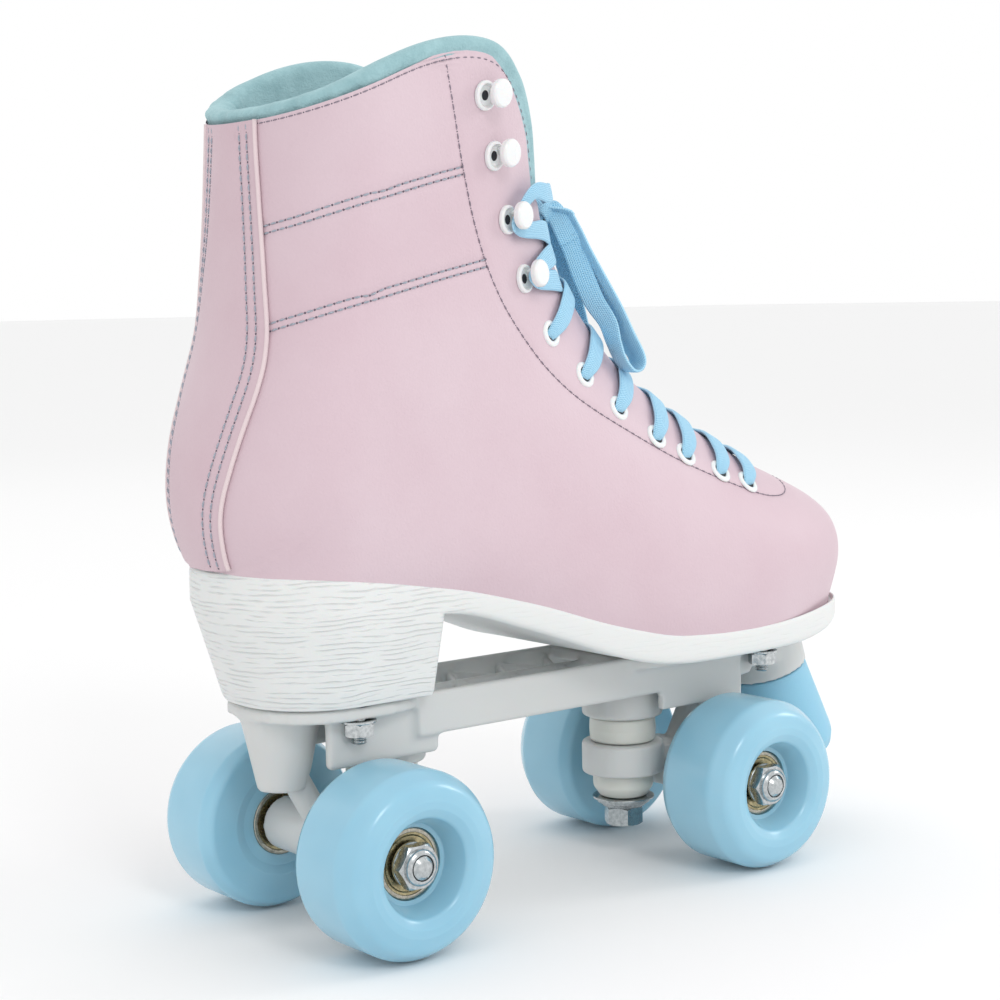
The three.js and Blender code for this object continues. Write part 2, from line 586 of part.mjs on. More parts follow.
// ---- trucks: drawn for the front, with x measured from the axle towards the nearer end ----
function addTruck(name, place, turn) {
  const truck = new THREE.Group();
  truck.position.set(place, 0, axleHeight);
  truck.rotation.z = turn;
  skate.add(truck);
  const level = (z) => z - axleHeight;
  const tubeEnd = halfTrack - halfWheel - 0.9;
  const across = (geometry) => geometry.rotateX(Math.PI / 2);
  const onKingpin = (geometry) => geometry.translate(-kingpinOffset, 0, 0);
  const aim = pivotAim(1);
  const noseX = pivotX - wheelbase / 2;
  const noseZ = level(pivotZ);

  const tube = across(rod(hangerTubeDiameter / 2, -tubeEnd, tubeEnd, 24));
  const yoke = onKingpin(rod(hangerRingDiameter / 2, level(ringBottom), level(ringTop), 28));
  const arm = block(-kingpinOffset, 2, -8, 8, level(ringBottom), level(ringTop) - 2.5);
  const nose = rod(pivotRadius - 0.6, -20, 0, 16).rotateY(Math.PI / 2 - aim).translate(noseX, 0, noseZ);
  const ball = new THREE.SphereGeometry(pivotRadius, 16, 8).translate(noseX, 0, noseZ);
  const eye = onKingpin(rod(kingpinDiameter / 2 + 1.9, level(ringBottom) - 1, level(ringTop) + 1, 24));
  const axleBore = across(rod(axleRadius + soleFit, -tubeEnd - 1, tubeEnd + 1, 16));
  addPart(truck, `${name}_hanger`, cut(join(tube, yoke, arm, nose, ball), eye, axleBore), 'whitePlastic');

  const axle = turned([[0, -axleHalfLength], [axleRadius - 0.8, -axleHalfLength],
    [axleRadius, -axleHalfLength + 0.8], [axleRadius, axleHalfLength - 0.8],
    [axleRadius - 0.8, axleHalfLength], [0, axleHalfLength]], 16);
  addPart(truck, `${name}_axle`, across(axle), 'zinc');

  const pinLow = level(nutTop) - kingpinNutHeight;
  const pin = rod(kingpinDiameter / 2, pinLow, level(plateTop) - 5, 20);
  addPart(truck, `${name}_kingpin`, onKingpin(pin), 'zinc');
  const bore = kingpinDiameter / 2 + soleFit;
  const cushion = cushionDiameter / 2;
  const upper = ring(bore, cushion, level(ringTop) + soleFit, level(ringTop) + soleFit + upperCushionHeight);
  addPart(truck, `${name}_cushion_upper`, onKingpin(upper), 'cushionWhite');
  const lowerTop = level(ringBottom) - soleFit;
  const lower = ring(bore, cushion - 1, lowerTop - lowerCushionHeight, lowerTop, 24, cushion - 2.2);
  addPart(truck, `${name}_cushion_lower`, onKingpin(lower), 'cushionWhite');
  const cup = ring(bore, cushion - 0.9, level(cupTop) - cupHeight, level(cupTop), 24, cushion - 3);
  addPart(truck, `${name}_cushion_cup`, onKingpin(cup), 'zinc');
  const nut = cut(hexagon(kingpinNutFlats, level(nutTop) - kingpinNutHeight, level(nutTop)),
    rod(bore, level(nutTop) - 20, level(nutTop) + 1, 20));
  addPart(truck, `${name}_kingpin_nut`, onKingpin(nut), 'zinc');

  for (const outwards of [1, -1]) {
    const left = Math.cos(turn) * outwards > 0;
    addWheel(truck, `${name}_${left ? 'left' : 'right'}`, outwards);
  }
}

// a wheel is drawn with its outer face up, then laid over onto the axle
function addWheel(truck, name, outwards) {
  const corner = new THREE.Group();
  corner.position.y = outwards * halfTrack;
  corner.rotation.x = -outwards * Math.PI / 2;
  truck.add(corner);
  const seat = bearingDiameter / 2 + runningFit;
  const shoulder = seat - 1.6;
  const outerSeat = outerBearingFace - bearingWidth;
  const innerSeat = -halfWheel + bearingWidth;
  const rounding = (centre, from) => steps(from, from + Math.PI / 2, 3).map((angle) => (
    [wheelRadius - wheelRounding * (1 - Math.cos(angle)), centre + wheelRounding * Math.sin(angle)]));
  const flat = halfWheel - wheelRounding;
  const profile = [
    [seat, -halfWheel], ...rounding(-flat, -Math.PI / 2), ...rounding(flat, 0),
    [16.5, halfWheel - 0.6], [15.2, halfWheel - 1.8], [12.8, outerBearingFace + 1.6],
    [seat, outerBearingFace], [seat, outerSeat - runningFit], [shoulder, outerSeat - runningFit],
    [shoulder, innerSeat + runningFit], [seat, innerSeat + runningFit], [seat, -halfWheel],
  ];
  addPart(corner, `wheel_${name}`, turned(profile, 28), 'blueUrethane');
  for (const [where, low] of [['outer', outerSeat], ['inner', -halfWheel]]) {
    const race = bearingDiameter / 2;
    const dish = 0.3;
    const bearing = turned([
      [bearingBore, low], [race, low], [race, low + bearingWidth], [8.2, low + bearingWidth - dish],
      [bearingBore, low + bearingWidth], [bearingBore, low]], 24);
    addPart(corner, `bearing_${name}_${where}`, bearing, 'bearingSteel');
  }
  const nutLow = outerBearingFace + soleFit;
  const collarTop = nutLow + axleNutHeight;
  const body = join(hexagon(axleNutFlats, nutLow, collarTop - 1.6), rod(5.4, nutLow, collarTop, 20));
  const nut = cut(body, rod(axleRadius + runningFit, nutLow - 1, collarTop + 1, 20));
  addPart(corner, `axle_nut_${name}`, nut, 'zinc');
}

// ---- lacing ----
const hookPlaces = [[13.5, 0.276], [16.64, 0.306], [19.17, 0.374], [21, 0.423]];
const eyeletRibs = [5.96, 6.68, 7.51, 8.2, 9.12, 10.07, 11.28];
const eyeletShare = 0.27;

function addHooks() {
  const capRadius = 5;
  const standing = 7.2;
  for (const [name, side] of [['right', 1], ['left', -1]]) {
    hookPlaces.forEach(([rib, share], k) => {
      const { point, normal } = bootPoint(rib, side * share);
      const lean = bootPoint(rib, side * (share - 0.03)).point.sub(point).normalize();
      const base = rod(capRadius, 0.3, 1.3, 16);
      const stalk = rod(2.2, 0.8, standing - 0.6, 12);
      const cap = rod(capRadius, standing - 1.4, standing, 16);
      const shift = new THREE.Matrix4().makeBasis(lean, normal.clone().cross(lean).normalize(), normal);
      const hook = join(base, stalk.translate(0.9, 0, 0), cap.translate(1.8, 0, 0));
      hook.applyMatrix4(shift).translate(point.x, point.y, point.z);
      addPart(deck, `speed_hook_${name}_${k + 1}`, hook, 'enamel');
    });
  }
}

// a flat strip through points; its face is square to the facing directions
function strip(points, facings, width, thickness) {
  const rings = points.map((point, k) => {
    const ahead = points[Math.min(k + 1, points.length - 1)].clone()
      .sub(points[Math.max(k - 1, 0)]).normalize();
    const across = ahead.clone().cross(facings[k]).normalize();
    const out = across.clone().cross(ahead).normalize();
    return [[1, 1], [-1, 1], [-1, -1], [1, -1]].map(([u, v]) => point.clone()
      .addScaledVector(across, u * width / 2)
      .addScaledVector(out, v * thickness / 2));
  });
  return loft(rings);
}

// a strand that hugs the front from one side to the other
function strand(fromRib, fromShare, toRib, toShare, lift) {
  const stations = steps(0, 1, 8).map((t) => bootPoint(
    THREE.MathUtils.lerp(fromRib, toRib, t), THREE.MathUtils.lerp(fromShare, toShare, t), -lift));
  const points = stations.map((station) => station.point);
  return strip(points, stations.map((station) => station.normal), laceWidth, laceThickness);
}

const knotPlace = new THREE.Vector3(16.5, 0, 151.5);
const knotSize = [5.5, 7.5, 6];

function addLaces() {
  const lift = laceThickness / 2 + 0.9;
  const rows = [...eyeletRibs.map((rib) => [rib, eyeletShare]), [13.5, 0.2], [16, 0.23]];
  const strands = [strand(rows[0][0], rows[0][1], rows[0][0], -rows[0][1], lift)];
  for (let k = 0; k + 1 < rows.length; k += 1) {
    for (const side of [1, -1]) {
      strands.push(strand(rows[k][0], side * rows[k][1], rows[k + 1][0], -side * rows[k + 1][1], lift));
    }
  }
  for (const side of [1, -1]) {
    const hook = bootPoint(16, side * 0.23, -lift);
    const route = [hook.point, bootPoint(15.6, side * 0.12, -lift - 1.4).point, knotPlace];
    strands.push(strip(route, route.map(() => hook.normal), laceWidth - 1, laceThickness));
  }
  const knot = new THREE.SphereGeometry(1, 14, 8).scale(...knotSize);
  strands.push(knot.translate(...knotPlace.toArray()));
  addPart(deck, 'lace', join(...strands), 'blueLace');
}

// loops and ends of the bow, from the knot and down the front, for the right side
const bowRoutes = {
  loop: [
    [23, -8, 150], [24.5, -10.5, 144.5], [26, -13.5, 138], [29.5, -17, 128.7], [33.5, -20, 119.3],
    [37, -22, 110.6], [40.3, -23, 104], [41.2, -23, 100.4], [40, -22.5, 98], [37.3, -22, 98],
    [34.4, -21, 101.8], [32.5, -20, 107.5], [31, -18.8, 114], [27.7, -15.5, 121.5], [25, -12.8, 131],
    [23.2, -11, 138.5], [21.6, -10, 142.5],
  ],
  end: [
    [23, -3.7, 147], [26.5, -4, 142.5], [31, -4.4, 136], [36, -6, 127], [40, -7.5, 119.5], [44, -9.5, 112],
    [48, -10.5, 105], [50, -11.5, 101], [49.5, -12, 97.7],
  ],
};

function addBow() {
  for (const [name, side] of [['right', 1], ['left', -1]]) {
    for (const [kind, route] of Object.entries(bowRoutes)) {
      const points = route.map(([x, y, z]) => new THREE.Vector3(x, side * y, z));
      const out = kind === 'loop' ? -0.6 : -0.1;
      const facings = points.map(() => new THREE.Vector3(0.6, side * out, 0.6));
      const ribbon = strip(points, facings, laceWidth - 0.6, laceThickness);
      addPart(deck, `bow_${kind}_${name}`, ribbon, 'blueLace');
    }
  }
}

addUppers();
addCollar();
addTongue();
addFootbed();
addSole();
addHeel();
addPlate();
addToeStop();
addScrews();
addHooks();
addLaces();
addBow();
addTruck('front', wheelbase / 2, 0);
addTruck('rear', -wheelbase / 2, Math.PI);

// the origin goes on the floor, under the middle of the whole skate
skate.updateMatrixWorld(true);
const whole = new THREE.Box3().setFromObject(skate);
skate.position.x = -(whole.min.x + whole.max.x) / 2;

export default skate;
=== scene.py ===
# Quad roller skate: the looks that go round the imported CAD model. Lengths are written in
# millimetres and turned to metres when a mesh is made.
import bpy
import json
import math
import numpy as np
from mathutils import Matrix, Vector

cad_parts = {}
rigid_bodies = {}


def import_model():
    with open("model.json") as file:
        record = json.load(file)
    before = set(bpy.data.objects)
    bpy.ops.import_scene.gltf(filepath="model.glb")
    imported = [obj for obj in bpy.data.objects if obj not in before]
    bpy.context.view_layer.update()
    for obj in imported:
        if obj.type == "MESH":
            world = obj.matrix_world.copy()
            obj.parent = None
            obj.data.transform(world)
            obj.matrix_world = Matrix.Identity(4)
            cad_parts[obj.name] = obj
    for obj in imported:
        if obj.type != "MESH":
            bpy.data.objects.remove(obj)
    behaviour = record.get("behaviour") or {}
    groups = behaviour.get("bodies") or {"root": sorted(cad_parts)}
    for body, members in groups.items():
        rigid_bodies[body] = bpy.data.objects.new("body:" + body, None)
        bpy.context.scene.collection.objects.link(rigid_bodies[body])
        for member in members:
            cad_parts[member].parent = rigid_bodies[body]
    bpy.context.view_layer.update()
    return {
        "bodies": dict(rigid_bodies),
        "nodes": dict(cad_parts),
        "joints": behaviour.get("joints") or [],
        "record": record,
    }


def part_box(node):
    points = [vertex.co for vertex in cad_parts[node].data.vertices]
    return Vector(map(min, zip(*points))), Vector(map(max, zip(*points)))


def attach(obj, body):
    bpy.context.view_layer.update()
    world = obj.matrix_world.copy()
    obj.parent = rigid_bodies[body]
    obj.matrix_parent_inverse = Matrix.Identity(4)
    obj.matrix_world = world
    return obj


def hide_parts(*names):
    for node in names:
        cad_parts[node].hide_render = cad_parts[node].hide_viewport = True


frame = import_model()
bpy.ops.object.select_all(action="DESELECT")
mm = 0.001
frontAxleLow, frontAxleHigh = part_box("front_axle")
drawnAxleX = 75  # where the boot's own drawing has the front axle
shift = (frontAxleLow.x + frontAxleHigh.x) / 2 / mm - drawnAxleX
deckHeight = 74  # top of the plate above the floor
print("frame loaded, drawing moved by", round(shift, 2), "mm")

# camera
cameraLook = {"place": (-426.7, -530.5, 196.2), "turn": 51.279, "dip": 5.588, "roll": -1.083, "lens": 73.75}


def addCamera():
    turn, dip, roll = (math.radians(cameraLook[key]) for key in ("turn", "dip", "roll"))
    ahead = Vector((math.cos(dip) * math.cos(turn), math.cos(dip) * math.sin(turn), -math.sin(dip)))
    right = ahead.cross(Vector((0, 0, 1))).normalized()
    up = right.cross(ahead)
    across = math.cos(roll) * right + math.sin(roll) * up
    rise = math.cos(roll) * up - math.sin(roll) * right
    x, y, z = cameraLook["place"]
    place = Matrix((across, rise, -ahead)).transposed().to_4x4()
    place.translation = Vector((x + shift, y, z)) * mm
    lens = bpy.data.cameras.new("viewCamera")
    lens.lens = cameraLook["lens"]
    lens.sensor_width = 36
    lens.clip_start = 0.01
    camera = bpy.data.objects.new("viewCamera", lens)
    bpy.context.scene.collection.objects.link(camera)
    camera.matrix_world = place
    bpy.context.scene.camera = camera


addCamera()
print("camera placed")


# materials
def hexColour(text):
    parts = [int(text[k:k + 2], 16) / 255 for k in (1, 3, 5)]
    linear = [p / 12.92 if p <= 0.04045 else ((p + 0.055) / 1.055) ** 2.4 for p in parts]
    return (*linear, 1)


def addNode(tree, kind, settings=None, links=None):
    node = tree.nodes.new(kind)
    for name, value in (settings or {}).items():
        if isinstance(name, int):
            node.inputs[name].default_value = value
        elif name in node.inputs:
            node.inputs[name].default_value = value
        else:
            setattr(node, name, value)
    for name, source in (links or {}).items():
        tree.links.new(source, node.inputs[name])
    return node


def newMaterial(name, settings):
    material = bpy.data.materials.new(name)
    material.use_nodes = True
    tree = material.node_tree
    shader = tree.nodes["Principled BSDF"]
    for key, value in settings.items():
        shader.inputs[key].default_value = value
    return material, tree, shader


def addRamp(tree, source, stops):
    ramp = addNode(tree, "ShaderNodeValToRGB", None, {"Fac": source})
    while len(ramp.color_ramp.elements) < len(stops):
        ramp.color_ramp.elements.new(0.5)
    for element, (place, colour) in zip(ramp.color_ramp.elements, stops):
        element.position = place
        element.color = hexColour(colour) if isinstance(colour, str) else (colour, colour, colour, 1)
    return ramp.outputs["Color"]


def objectPoint(tree, scale=(1, 1, 1)):
    place = addNode(tree, "ShaderNodeTexCoord")
    return addNode(tree, "ShaderNodeMapping", {"Scale": scale},
                   {"Vector": place.outputs["Object"]}).outputs[0]


def addBump(tree, shader, layers):
    # layers of [height, strength, depth in metres]
    last = None
    for height, strength, depth in layers:
        links = {"Height": height}
        if last:
            links["Normal"] = last
        bump = addNode(tree, "ShaderNodeBump", {"Strength": strength, "Distance": depth}, links)
        last = bump.outputs["Normal"]
    tree.links.new(last, shader.inputs["Normal"])


# polyurethane-coated leathercloth, embossed with a fine grain: an even satin pink with soft pebbles
def makeLeather(name, light, dark, grain=1):
    material, tree, shader = newMaterial(name, {"Roughness": 0.52, "IOR": 1.47, "Sheen Weight": 0.06})
    point = objectPoint(tree)
    cloud = addNode(tree, "ShaderNodeTexNoise", {"Scale": 22.0, "Detail": 3.0}, {"Vector": point})
    tree.links.new(addRamp(tree, cloud.outputs["Fac"], [(0.3, dark), (0.7, light)]),
                   shader.inputs["Base Color"])
    # grain pebbles 0.9 mm across, drawn a little coarse so that they show
    pebble = addNode(tree, "ShaderNodeTexVoronoi", {"Scale": 1100.0}, {"Vector": point})
    fine = addNode(tree, "ShaderNodeTexNoise", {"Scale": 900.0, "Detail": 2.0}, {"Vector": point})
    pull = addNode(tree, "ShaderNodeTexNoise", {"Scale": 60.0, "Detail": 2.0}, {"Vector": point})
    addBump(tree, shader, [(pebble.outputs["Distance"], 0.16 * grain, 0.0003),
                           (fine.outputs["Fac"], 0.2, 0.0002), (pull.outputs["Fac"], 0.12, 0.001)])
    return material


# brushed polyester knit over foam: matt, a little furry, with darker and lighter strokes
def makeBrushedKnit(name, light, dark):
    material, tree, shader = newMaterial(name, {
        "Roughness": 0.95, "Sheen Weight": 0.35, "Sheen Roughness": 0.5, "Sheen Tint": hexColour("#d8eef0")})
    point = objectPoint(tree)
    cloud = addNode(tree, "ShaderNodeTexNoise", {"Scale": 90.0, "Detail": 6.0, "Roughness": 0.7},
                    {"Vector": point})
    tree.links.new(addRamp(tree, cloud.outputs["Fac"], [(0.3, dark), (0.72, light)]),
                   shader.inputs["Base Color"])
    # fibres about 0.4 mm apart
    fibre = addNode(tree, "ShaderNodeTexNoise", {"Scale": 1500.0, "Detail": 3.0}, {"Vector": point})
    addBump(tree, shader, [(fibre.outputs["Fac"], 0.55, 0.0005), (cloud.outputs["Fac"], 0.3, 0.001)])
    return material


# moulded rubber, nylon or urethane, and enamel: an even colour with a faint mottled gloss
def makeMoulded(name, colour, roughness, grain=0.1):
    material, tree, shader = newMaterial(name, {"Base Color": hexColour(colour), "IOR": 1.5,
                                                "Subsurface Weight": 0.08, "Subsurface Scale": 0.002})
    point = objectPoint(tree)
    mottle = addNode(tree, "ShaderNodeTexNoise", {"Scale": 140.0, "Detail": 4.0}, {"Vector": point})
    tree.links.new(addRamp(tree, mottle.outputs["Fac"], [(0.3, roughness - 0.06), (0.7, roughness + 0.06)]),
                   shader.inputs["Roughness"])
    fine = addNode(tree, "ShaderNodeTexNoise", {"Scale": 1300.0, "Detail": 2.0}, {"Vector": point})
    addBump(tree, shader, [(fine.outputs["Fac"], grain, 0.0002)])
    return material


# zinc-plated steel, rolled or turned: bright, with fine turning marks and a patchy film
def makePlated(name, colour, dark, roughness):
    material, tree, shader = newMaterial(name, {"Metallic": 1.0})
    point = objectPoint(tree)
    film = addNode(tree, "ShaderNodeTexNoise", {"Scale": 900.0, "Detail": 4.0}, {"Vector": point})
    tree.links.new(addRamp(tree, film.outputs["Fac"], [(0.35, dark), (0.65, colour)]),
                   shader.inputs["Base Color"])
    tree.links.new(addRamp(tree, film.outputs["Fac"], [(0.3, roughness + 0.12), (0.7, roughness)]),
                   shader.inputs["Roughness"])
    marks = addNode(tree, "ShaderNodeTexNoise", {"Scale": 1800.0, "Detail": 1.0}, {"Vector": point})
    addBump(tree, shader, [(marks.outputs["Fac"], 0.05, 0.0001)])
    return material


# cast polyurethane: tinted, slightly milky, with a clear gloss where the mould was polished
def makeUrethane(name, light, dark):
    material, tree, shader = newMaterial(name, {
        "Roughness": 0.24, "IOR": 1.5, "Subsurface Weight": 0.35, "Subsurface Scale": 0.004,
        "Subsurface Radius": (0.5, 0.9, 1.0), "Coat Weight": 0.25, "Coat Roughness": 0.18})
    point = objectPoint(tree)
    cloud = addNode(tree, "ShaderNodeTexNoise", {"Scale": 30.0, "Detail": 2.0}, {"Vector": point})
    tree.links.new(addRamp(tree, cloud.outputs["Fac"], [(0.3, dark), (0.7, light)]),
                   shader.inputs["Base Color"])
    fine = addNode(tree, "ShaderNodeTexNoise", {"Scale": 260.0, "Detail": 3.0}, {"Vector": point})
    addBump(tree, shader, [(fine.outputs["Fac"], 0.05, 0.0003)])
    return material


# flat woven polyester lace: ribs of thread that run slantwise to a centre line, with painted shade in the
# valleys between them
def makeLace(name, light, dark):
    material, tree, shader = newMaterial(name, {"Roughness": 0.8, "Sheen Weight": 0.2,
                                                "Sheen Roughness": 0.4})
    uv = addNode(tree, "ShaderNodeUVMap", {"uv_map": "along"})
    split = addNode(tree, "ShaderNodeSeparateXYZ", None, {"Vector": uv.outputs[0]})
    fold = addNode(tree, "ShaderNodeMath", {"operation": "ABSOLUTE"}, {0: split.outputs["X"]})
    # u runs from -1 to 1 across the lace, v is in thread spacings of 0.8 mm
    slant = addNode(tree, "ShaderNodeMath", {"operation": "MULTIPLY_ADD", 1: 3.0},
                    {0: fold.outputs[0], 2: split.outputs["Y"]})
    wave = addNode(tree, "ShaderNodeMath", {"operation": "MULTIPLY", 1: math.tau}, {0: slant.outputs[0]})
    rib = addNode(tree, "ShaderNodeMath", {"operation": "SINE"}, {0: wave.outputs[0]})
    across = addNode(tree, "ShaderNodeMath", {"operation": "MULTIPLY", 1: 5 * math.tau},
                     {0: split.outputs["X"]})
    warp = addNode(tree, "ShaderNodeMath", {"operation": "COSINE"}, {0: across.outputs[0]})
    both = addNode(tree, "ShaderNodeMath", {"operation": "ADD"}, {0: rib.outputs[0], 1: warp.outputs[0]})
    height = addNode(tree, "ShaderNodeMath", {"operation": "MULTIPLY_ADD", 1: 0.25, 2: 0.5},
                     {0: both.outputs[0]})
    # painted shade: the colour follows the weave's height, darkest in the valleys
    tree.links.new(addRamp(tree, height.outputs[0], [(0.1, dark), (0.7, light)]),
                   shader.inputs["Base Color"])
    fuzz = addNode(tree, "ShaderNodeTexNoise", {"Scale": 2200.0, "Detail": 2.0},
                   {"Vector": objectPoint(tree)})
    addBump(tree, shader, [(height.outputs[0], 0.6, 0.0004), (fuzz.outputs["Fac"], 0.35, 0.0003)])
    return material


# heel and sole moulding: the side is textured with fine uneven grooved lines, like stacked leather, and the
# grooves carry painted shade
def makeStackedSole(name, colour, dark):
    material, tree, shader = newMaterial(name, {"Roughness": 0.5, "IOR": 1.5, "Subsurface Weight": 0.08,
                                                "Subsurface Scale": 0.002})
    point = objectPoint(tree)
    split = addNode(tree, "ShaderNodeSeparateXYZ", None, {"Vector": point})
    # lines 1.6 mm apart that wander by half a spacing and break up every 10 mm or so
    wander = addNode(tree, "ShaderNodeTexNoise", {"Scale": 1.0, "Detail": 2.0},
                     {"Vector": objectPoint(tree, (45, 45, 130))})
    turns = addNode(tree, "ShaderNodeMath", {"operation": "MULTIPLY", 1: math.tau / 0.0016},
                    {0: split.outputs["Z"]})
    drift = addNode(tree, "ShaderNodeMath", {"operation": "MULTIPLY_ADD", 1: 14.0},
                    {0: wander.outputs["Fac"], 2: turns.outputs[0]})
    wave = addNode(tree, "ShaderNodeMath", {"operation": "SINE"}, {0: drift.outputs[0]})
    crease = addRamp(tree, wave.outputs[0], [(0.35, 0.0), (0.95, 1.0)])
    patch = addNode(tree, "ShaderNodeTexNoise", {"Scale": 1.0, "Detail": 2.0},
                    {"Vector": objectPoint(tree, (110, 110, 420))})
    broken = addRamp(tree, patch.outputs["Fac"], [(0.42, 0.0), (0.58, 1.0)])
    # strong on the heel, faint along the rest of the sole
    rear = addNode(tree, "ShaderNodeMapRange", {"From Min": -0.052, "From Max": -0.072, "To Min": 0.15,
                                                "To Max": 1.0},
                   {"Value": split.outputs["X"]})
    mask = addNode(tree, "ShaderNodeMath", {"operation": "MULTIPLY"}, {0: broken, 1: rear.outputs["Result"]})
    depth = addNode(tree, "ShaderNodeMath", {"operation": "MULTIPLY"}, {0: crease, 1: mask.outputs[0]})
    # painted shade: the colour darkens where the grooves sink
    tree.links.new(addRamp(tree, depth.outputs[0], [(0.0, colour), (1.0, dark)]),
                   shader.inputs["Base Color"])
    height = addNode(tree, "ShaderNodeMath", {"operation": "MULTIPLY", 1: -1.0}, {0: depth.outputs[0]})
    fine = addNode(tree, "ShaderNodeTexNoise", {"Scale": 1200.0, "Detail": 2.0}, {"Vector": point})
    addBump(tree, shader, [(height.outputs[0], 0.5, 0.0004), (fine.outputs["Fac"], 0.1, 0.0002)])
    return material


pinkLeather = makeLeather("pinkCoatedLeathercloth", "#d1bcc4", "#cbb3bc")
# the backstay is the same leathercloth painted a little darker: painted shade on the back of the boot
backstayShadeLeather = makeLeather("pinkBackstayPaintedShade", "#cfb9c1", "#c8aeb7")
# the piping is the same leathercloth painted paler: a painted highlight on its rolled edge
pipingHighlightLeather = makeLeather("foldedEdgePaintedHighlight", "#e2d2d2", "#d9c6ca", 0.5)
tealKnit = makeBrushedKnit("tealBrushedKnit", "#a4c8cd", "#84a9af")
# the lining and footbed are the collar's knit painted darker: painted shade inside the boot
insideKnitPaintedShade = makeBrushedKnit("tealBrushedInsidePaintedShade", "#7fa3aa", "#64878f")
heelRubber = makeStackedSole("whiteStackedHeel", "#dcdedd", "#cdd0cf")
plateNylon = makeMoulded("whiteMouldedNylon", "#cacccb", 0.42, 0.06)
cushionUrethane = makeMoulded("ivoryCushionUrethane", "#d3d4cd", 0.4)
wheelUrethane = makeUrethane("blueCastUrethane", "#99c9dd", "#8dbfd5")
stopRubber = makeMoulded("blueMouldedRubber", "#8cc2da", 0.5, 0.2)
zincPlate = makePlated("brightZincPlate", "#c9cdce", "#acb1b3", 0.16)
shieldSteel = makePlated("bearingShieldSteel", "#b3a783", "#958a6a", 0.22)
raceSteel = makePlated("groundRaceSteel", "#b9b5a8", "#9a968a", 0.16)
whiteEnamel = makeMoulded("whiteGlossEnamel", "#e6e8e8", 0.25, 0.02)
laceWeave = makeLace("blueWovenPolyester", "#b0def4", "#78b5d8")
threadMaterial = makeLace("greyBlueThread", "#bcc4d0", "#a5b0c0")
darkThread = makeLace("plumThread", "#a093a2", "#8c7f90")
holeMaterial = newMaterial("needleHoleShadow", {"Base Color": hexColour("#6a6371"), "Roughness": 0.9})[0]
darkMaterial = newMaterial("rivetShadow", {"Base Color": hexColour("#20242a"), "Roughness": 0.7})[0]
print("materials made")


# the boot's form
# a rib is a slanted section: front x, z; back x, z; half width; the share of the way back at
# which it is widest; how square its front and its back are
ribs = np.array([
    [150, 22, 147, 13.4, 0.4, 0.55, 2, 2],
    [148.3, 35.2, 141.5, 12.4, 15.5, 0.62, 2, 2],
    [143, 44.2, 132, 11.3, 25.5, 0.66, 2.15, 2],
    [132.5, 50.6, 116, 10, 34.5, 0.68, 2.2, 2],
    [118.5, 57, 99, 8.6, 41, 0.7, 2.15, 2],
    [103.5, 63.5, 80, 7.8, 44.5, 0.72, 2.05, 2],
    [89, 71, 58, 8, 46, 0.74, 2, 2],
    [72.5, 80.5, 36, 9.6, 46, 0.76, 1.9, 2],
    [57, 91, 12, 15.7, 43.5, 0.77, 1.85, 2],
    [43, 102.5, -14, 24.6, 40.5, 0.77, 1.85, 2],
    [31.5, 115.5, -40, 31.6, 38, 0.77, 1.9, 2],
    [22.5, 128, -66, 36.2, 36.5, 0.77, 2, 2.1],
    [16.5, 138.5, -86, 39.2, 36.3, 0.76, 2.1, 2.2],
    [12.8, 147, -100, 40.4, 36.5, 0.75, 2.2, 2.3],
    [10.5, 153.5, -109.5, 41, 36.7, 0.74, 2.3, 2.3],
    [9, 159, -114.4, 43.5, 36.8, 0.74, 2.4, 2.3],
    [7.2, 164, -118.2, 57, 36.8, 0.74, 2.5, 2.3],
    [6.5, 172, -117.5, 73, 36.4, 0.74, 2.6, 2.3],
    [6, 180, -112.6, 91, 36, 0.74, 2.7, 2.3],
    [5.5, 188, -106.6, 109, 36.2, 0.74, 2.8, 2.3],
    [5.2, 196, -103.4, 127, 37, 0.74, 2.9, 2.3],
    [5, 205, -100.8, 148, 38.6, 0.74, 3, 2.3],
    [5, 222, -98.6, 180, 41, 0.74, 3.1, 2.3],
])
ribs[:, 4] **= 2  # the half width is eased as its square, so that the toe is round
heelRib = 15  # behind it a rib closes round the heel, before it a rib stands on the sole
topRib = 21.88
throatEdge = np.array([
    [0, 0], [4.6, 0], [4.9, 0.02], [5.2, 0.05], [5.6, 0.075], [6.3, 0.09], [7.5, 0.1], [11, 0.11],
    [14.4, 0.13],
    [16.4, 0.176], [18.3, 0.222], [19.8, 0.285], [20.8, 0.336], [21.4, 0.389], [21.65, 0.428],
    [21.8, 0.473], [21.88, 0.52], [22, 0.6]])
backstayEdge = np.array([
    [14.6, 1], [14.95, 0.925], [16.3, 0.904], [17, 0.872], [18.3, 0.832], [19.1, 0.85], [20.8, 0.908],
    [22, 0.952]])


def footHalf(x):
    heel = 32 * np.maximum(0, 1 - (np.abs(x + 80.5) / 33.5) ** 2.2) ** (1 / 2.2)
    toe = 44 * np.maximum(0, 1 - (np.maximum(0, x - 60) / 87) ** 2.3) ** (1 / 2.3 * 2.3 / 2.2)
    t = np.clip((x + 60) / 120, 0, 1)
    middle = 32 + 12 * t * t * (3 - 2 * t)
    return np.where(x < -80.5, heel, np.where(x > 60, toe, middle))


def smoothTable(table, place):
    last = len(table) - 1
    place = np.clip(place, 0, last)
    k = np.minimum(np.floor(place).astype(int), last - 1)
    t = (place - k)[..., None]
    longer = np.vstack([2 * table[0] - table[1], table, 2 * table[-1] - table[-2]])
    p0, p1, p2, p3 = (longer[k + n] for n in range(4))
    return 0.5 * (2 * p1 + (p2 - p0) * t + (2 * p0 - 5 * p1 + 4 * p2 - p3) * t ** 2
                  + (3 * p1 - p0 - 3 * p2 + p3) * t ** 3)


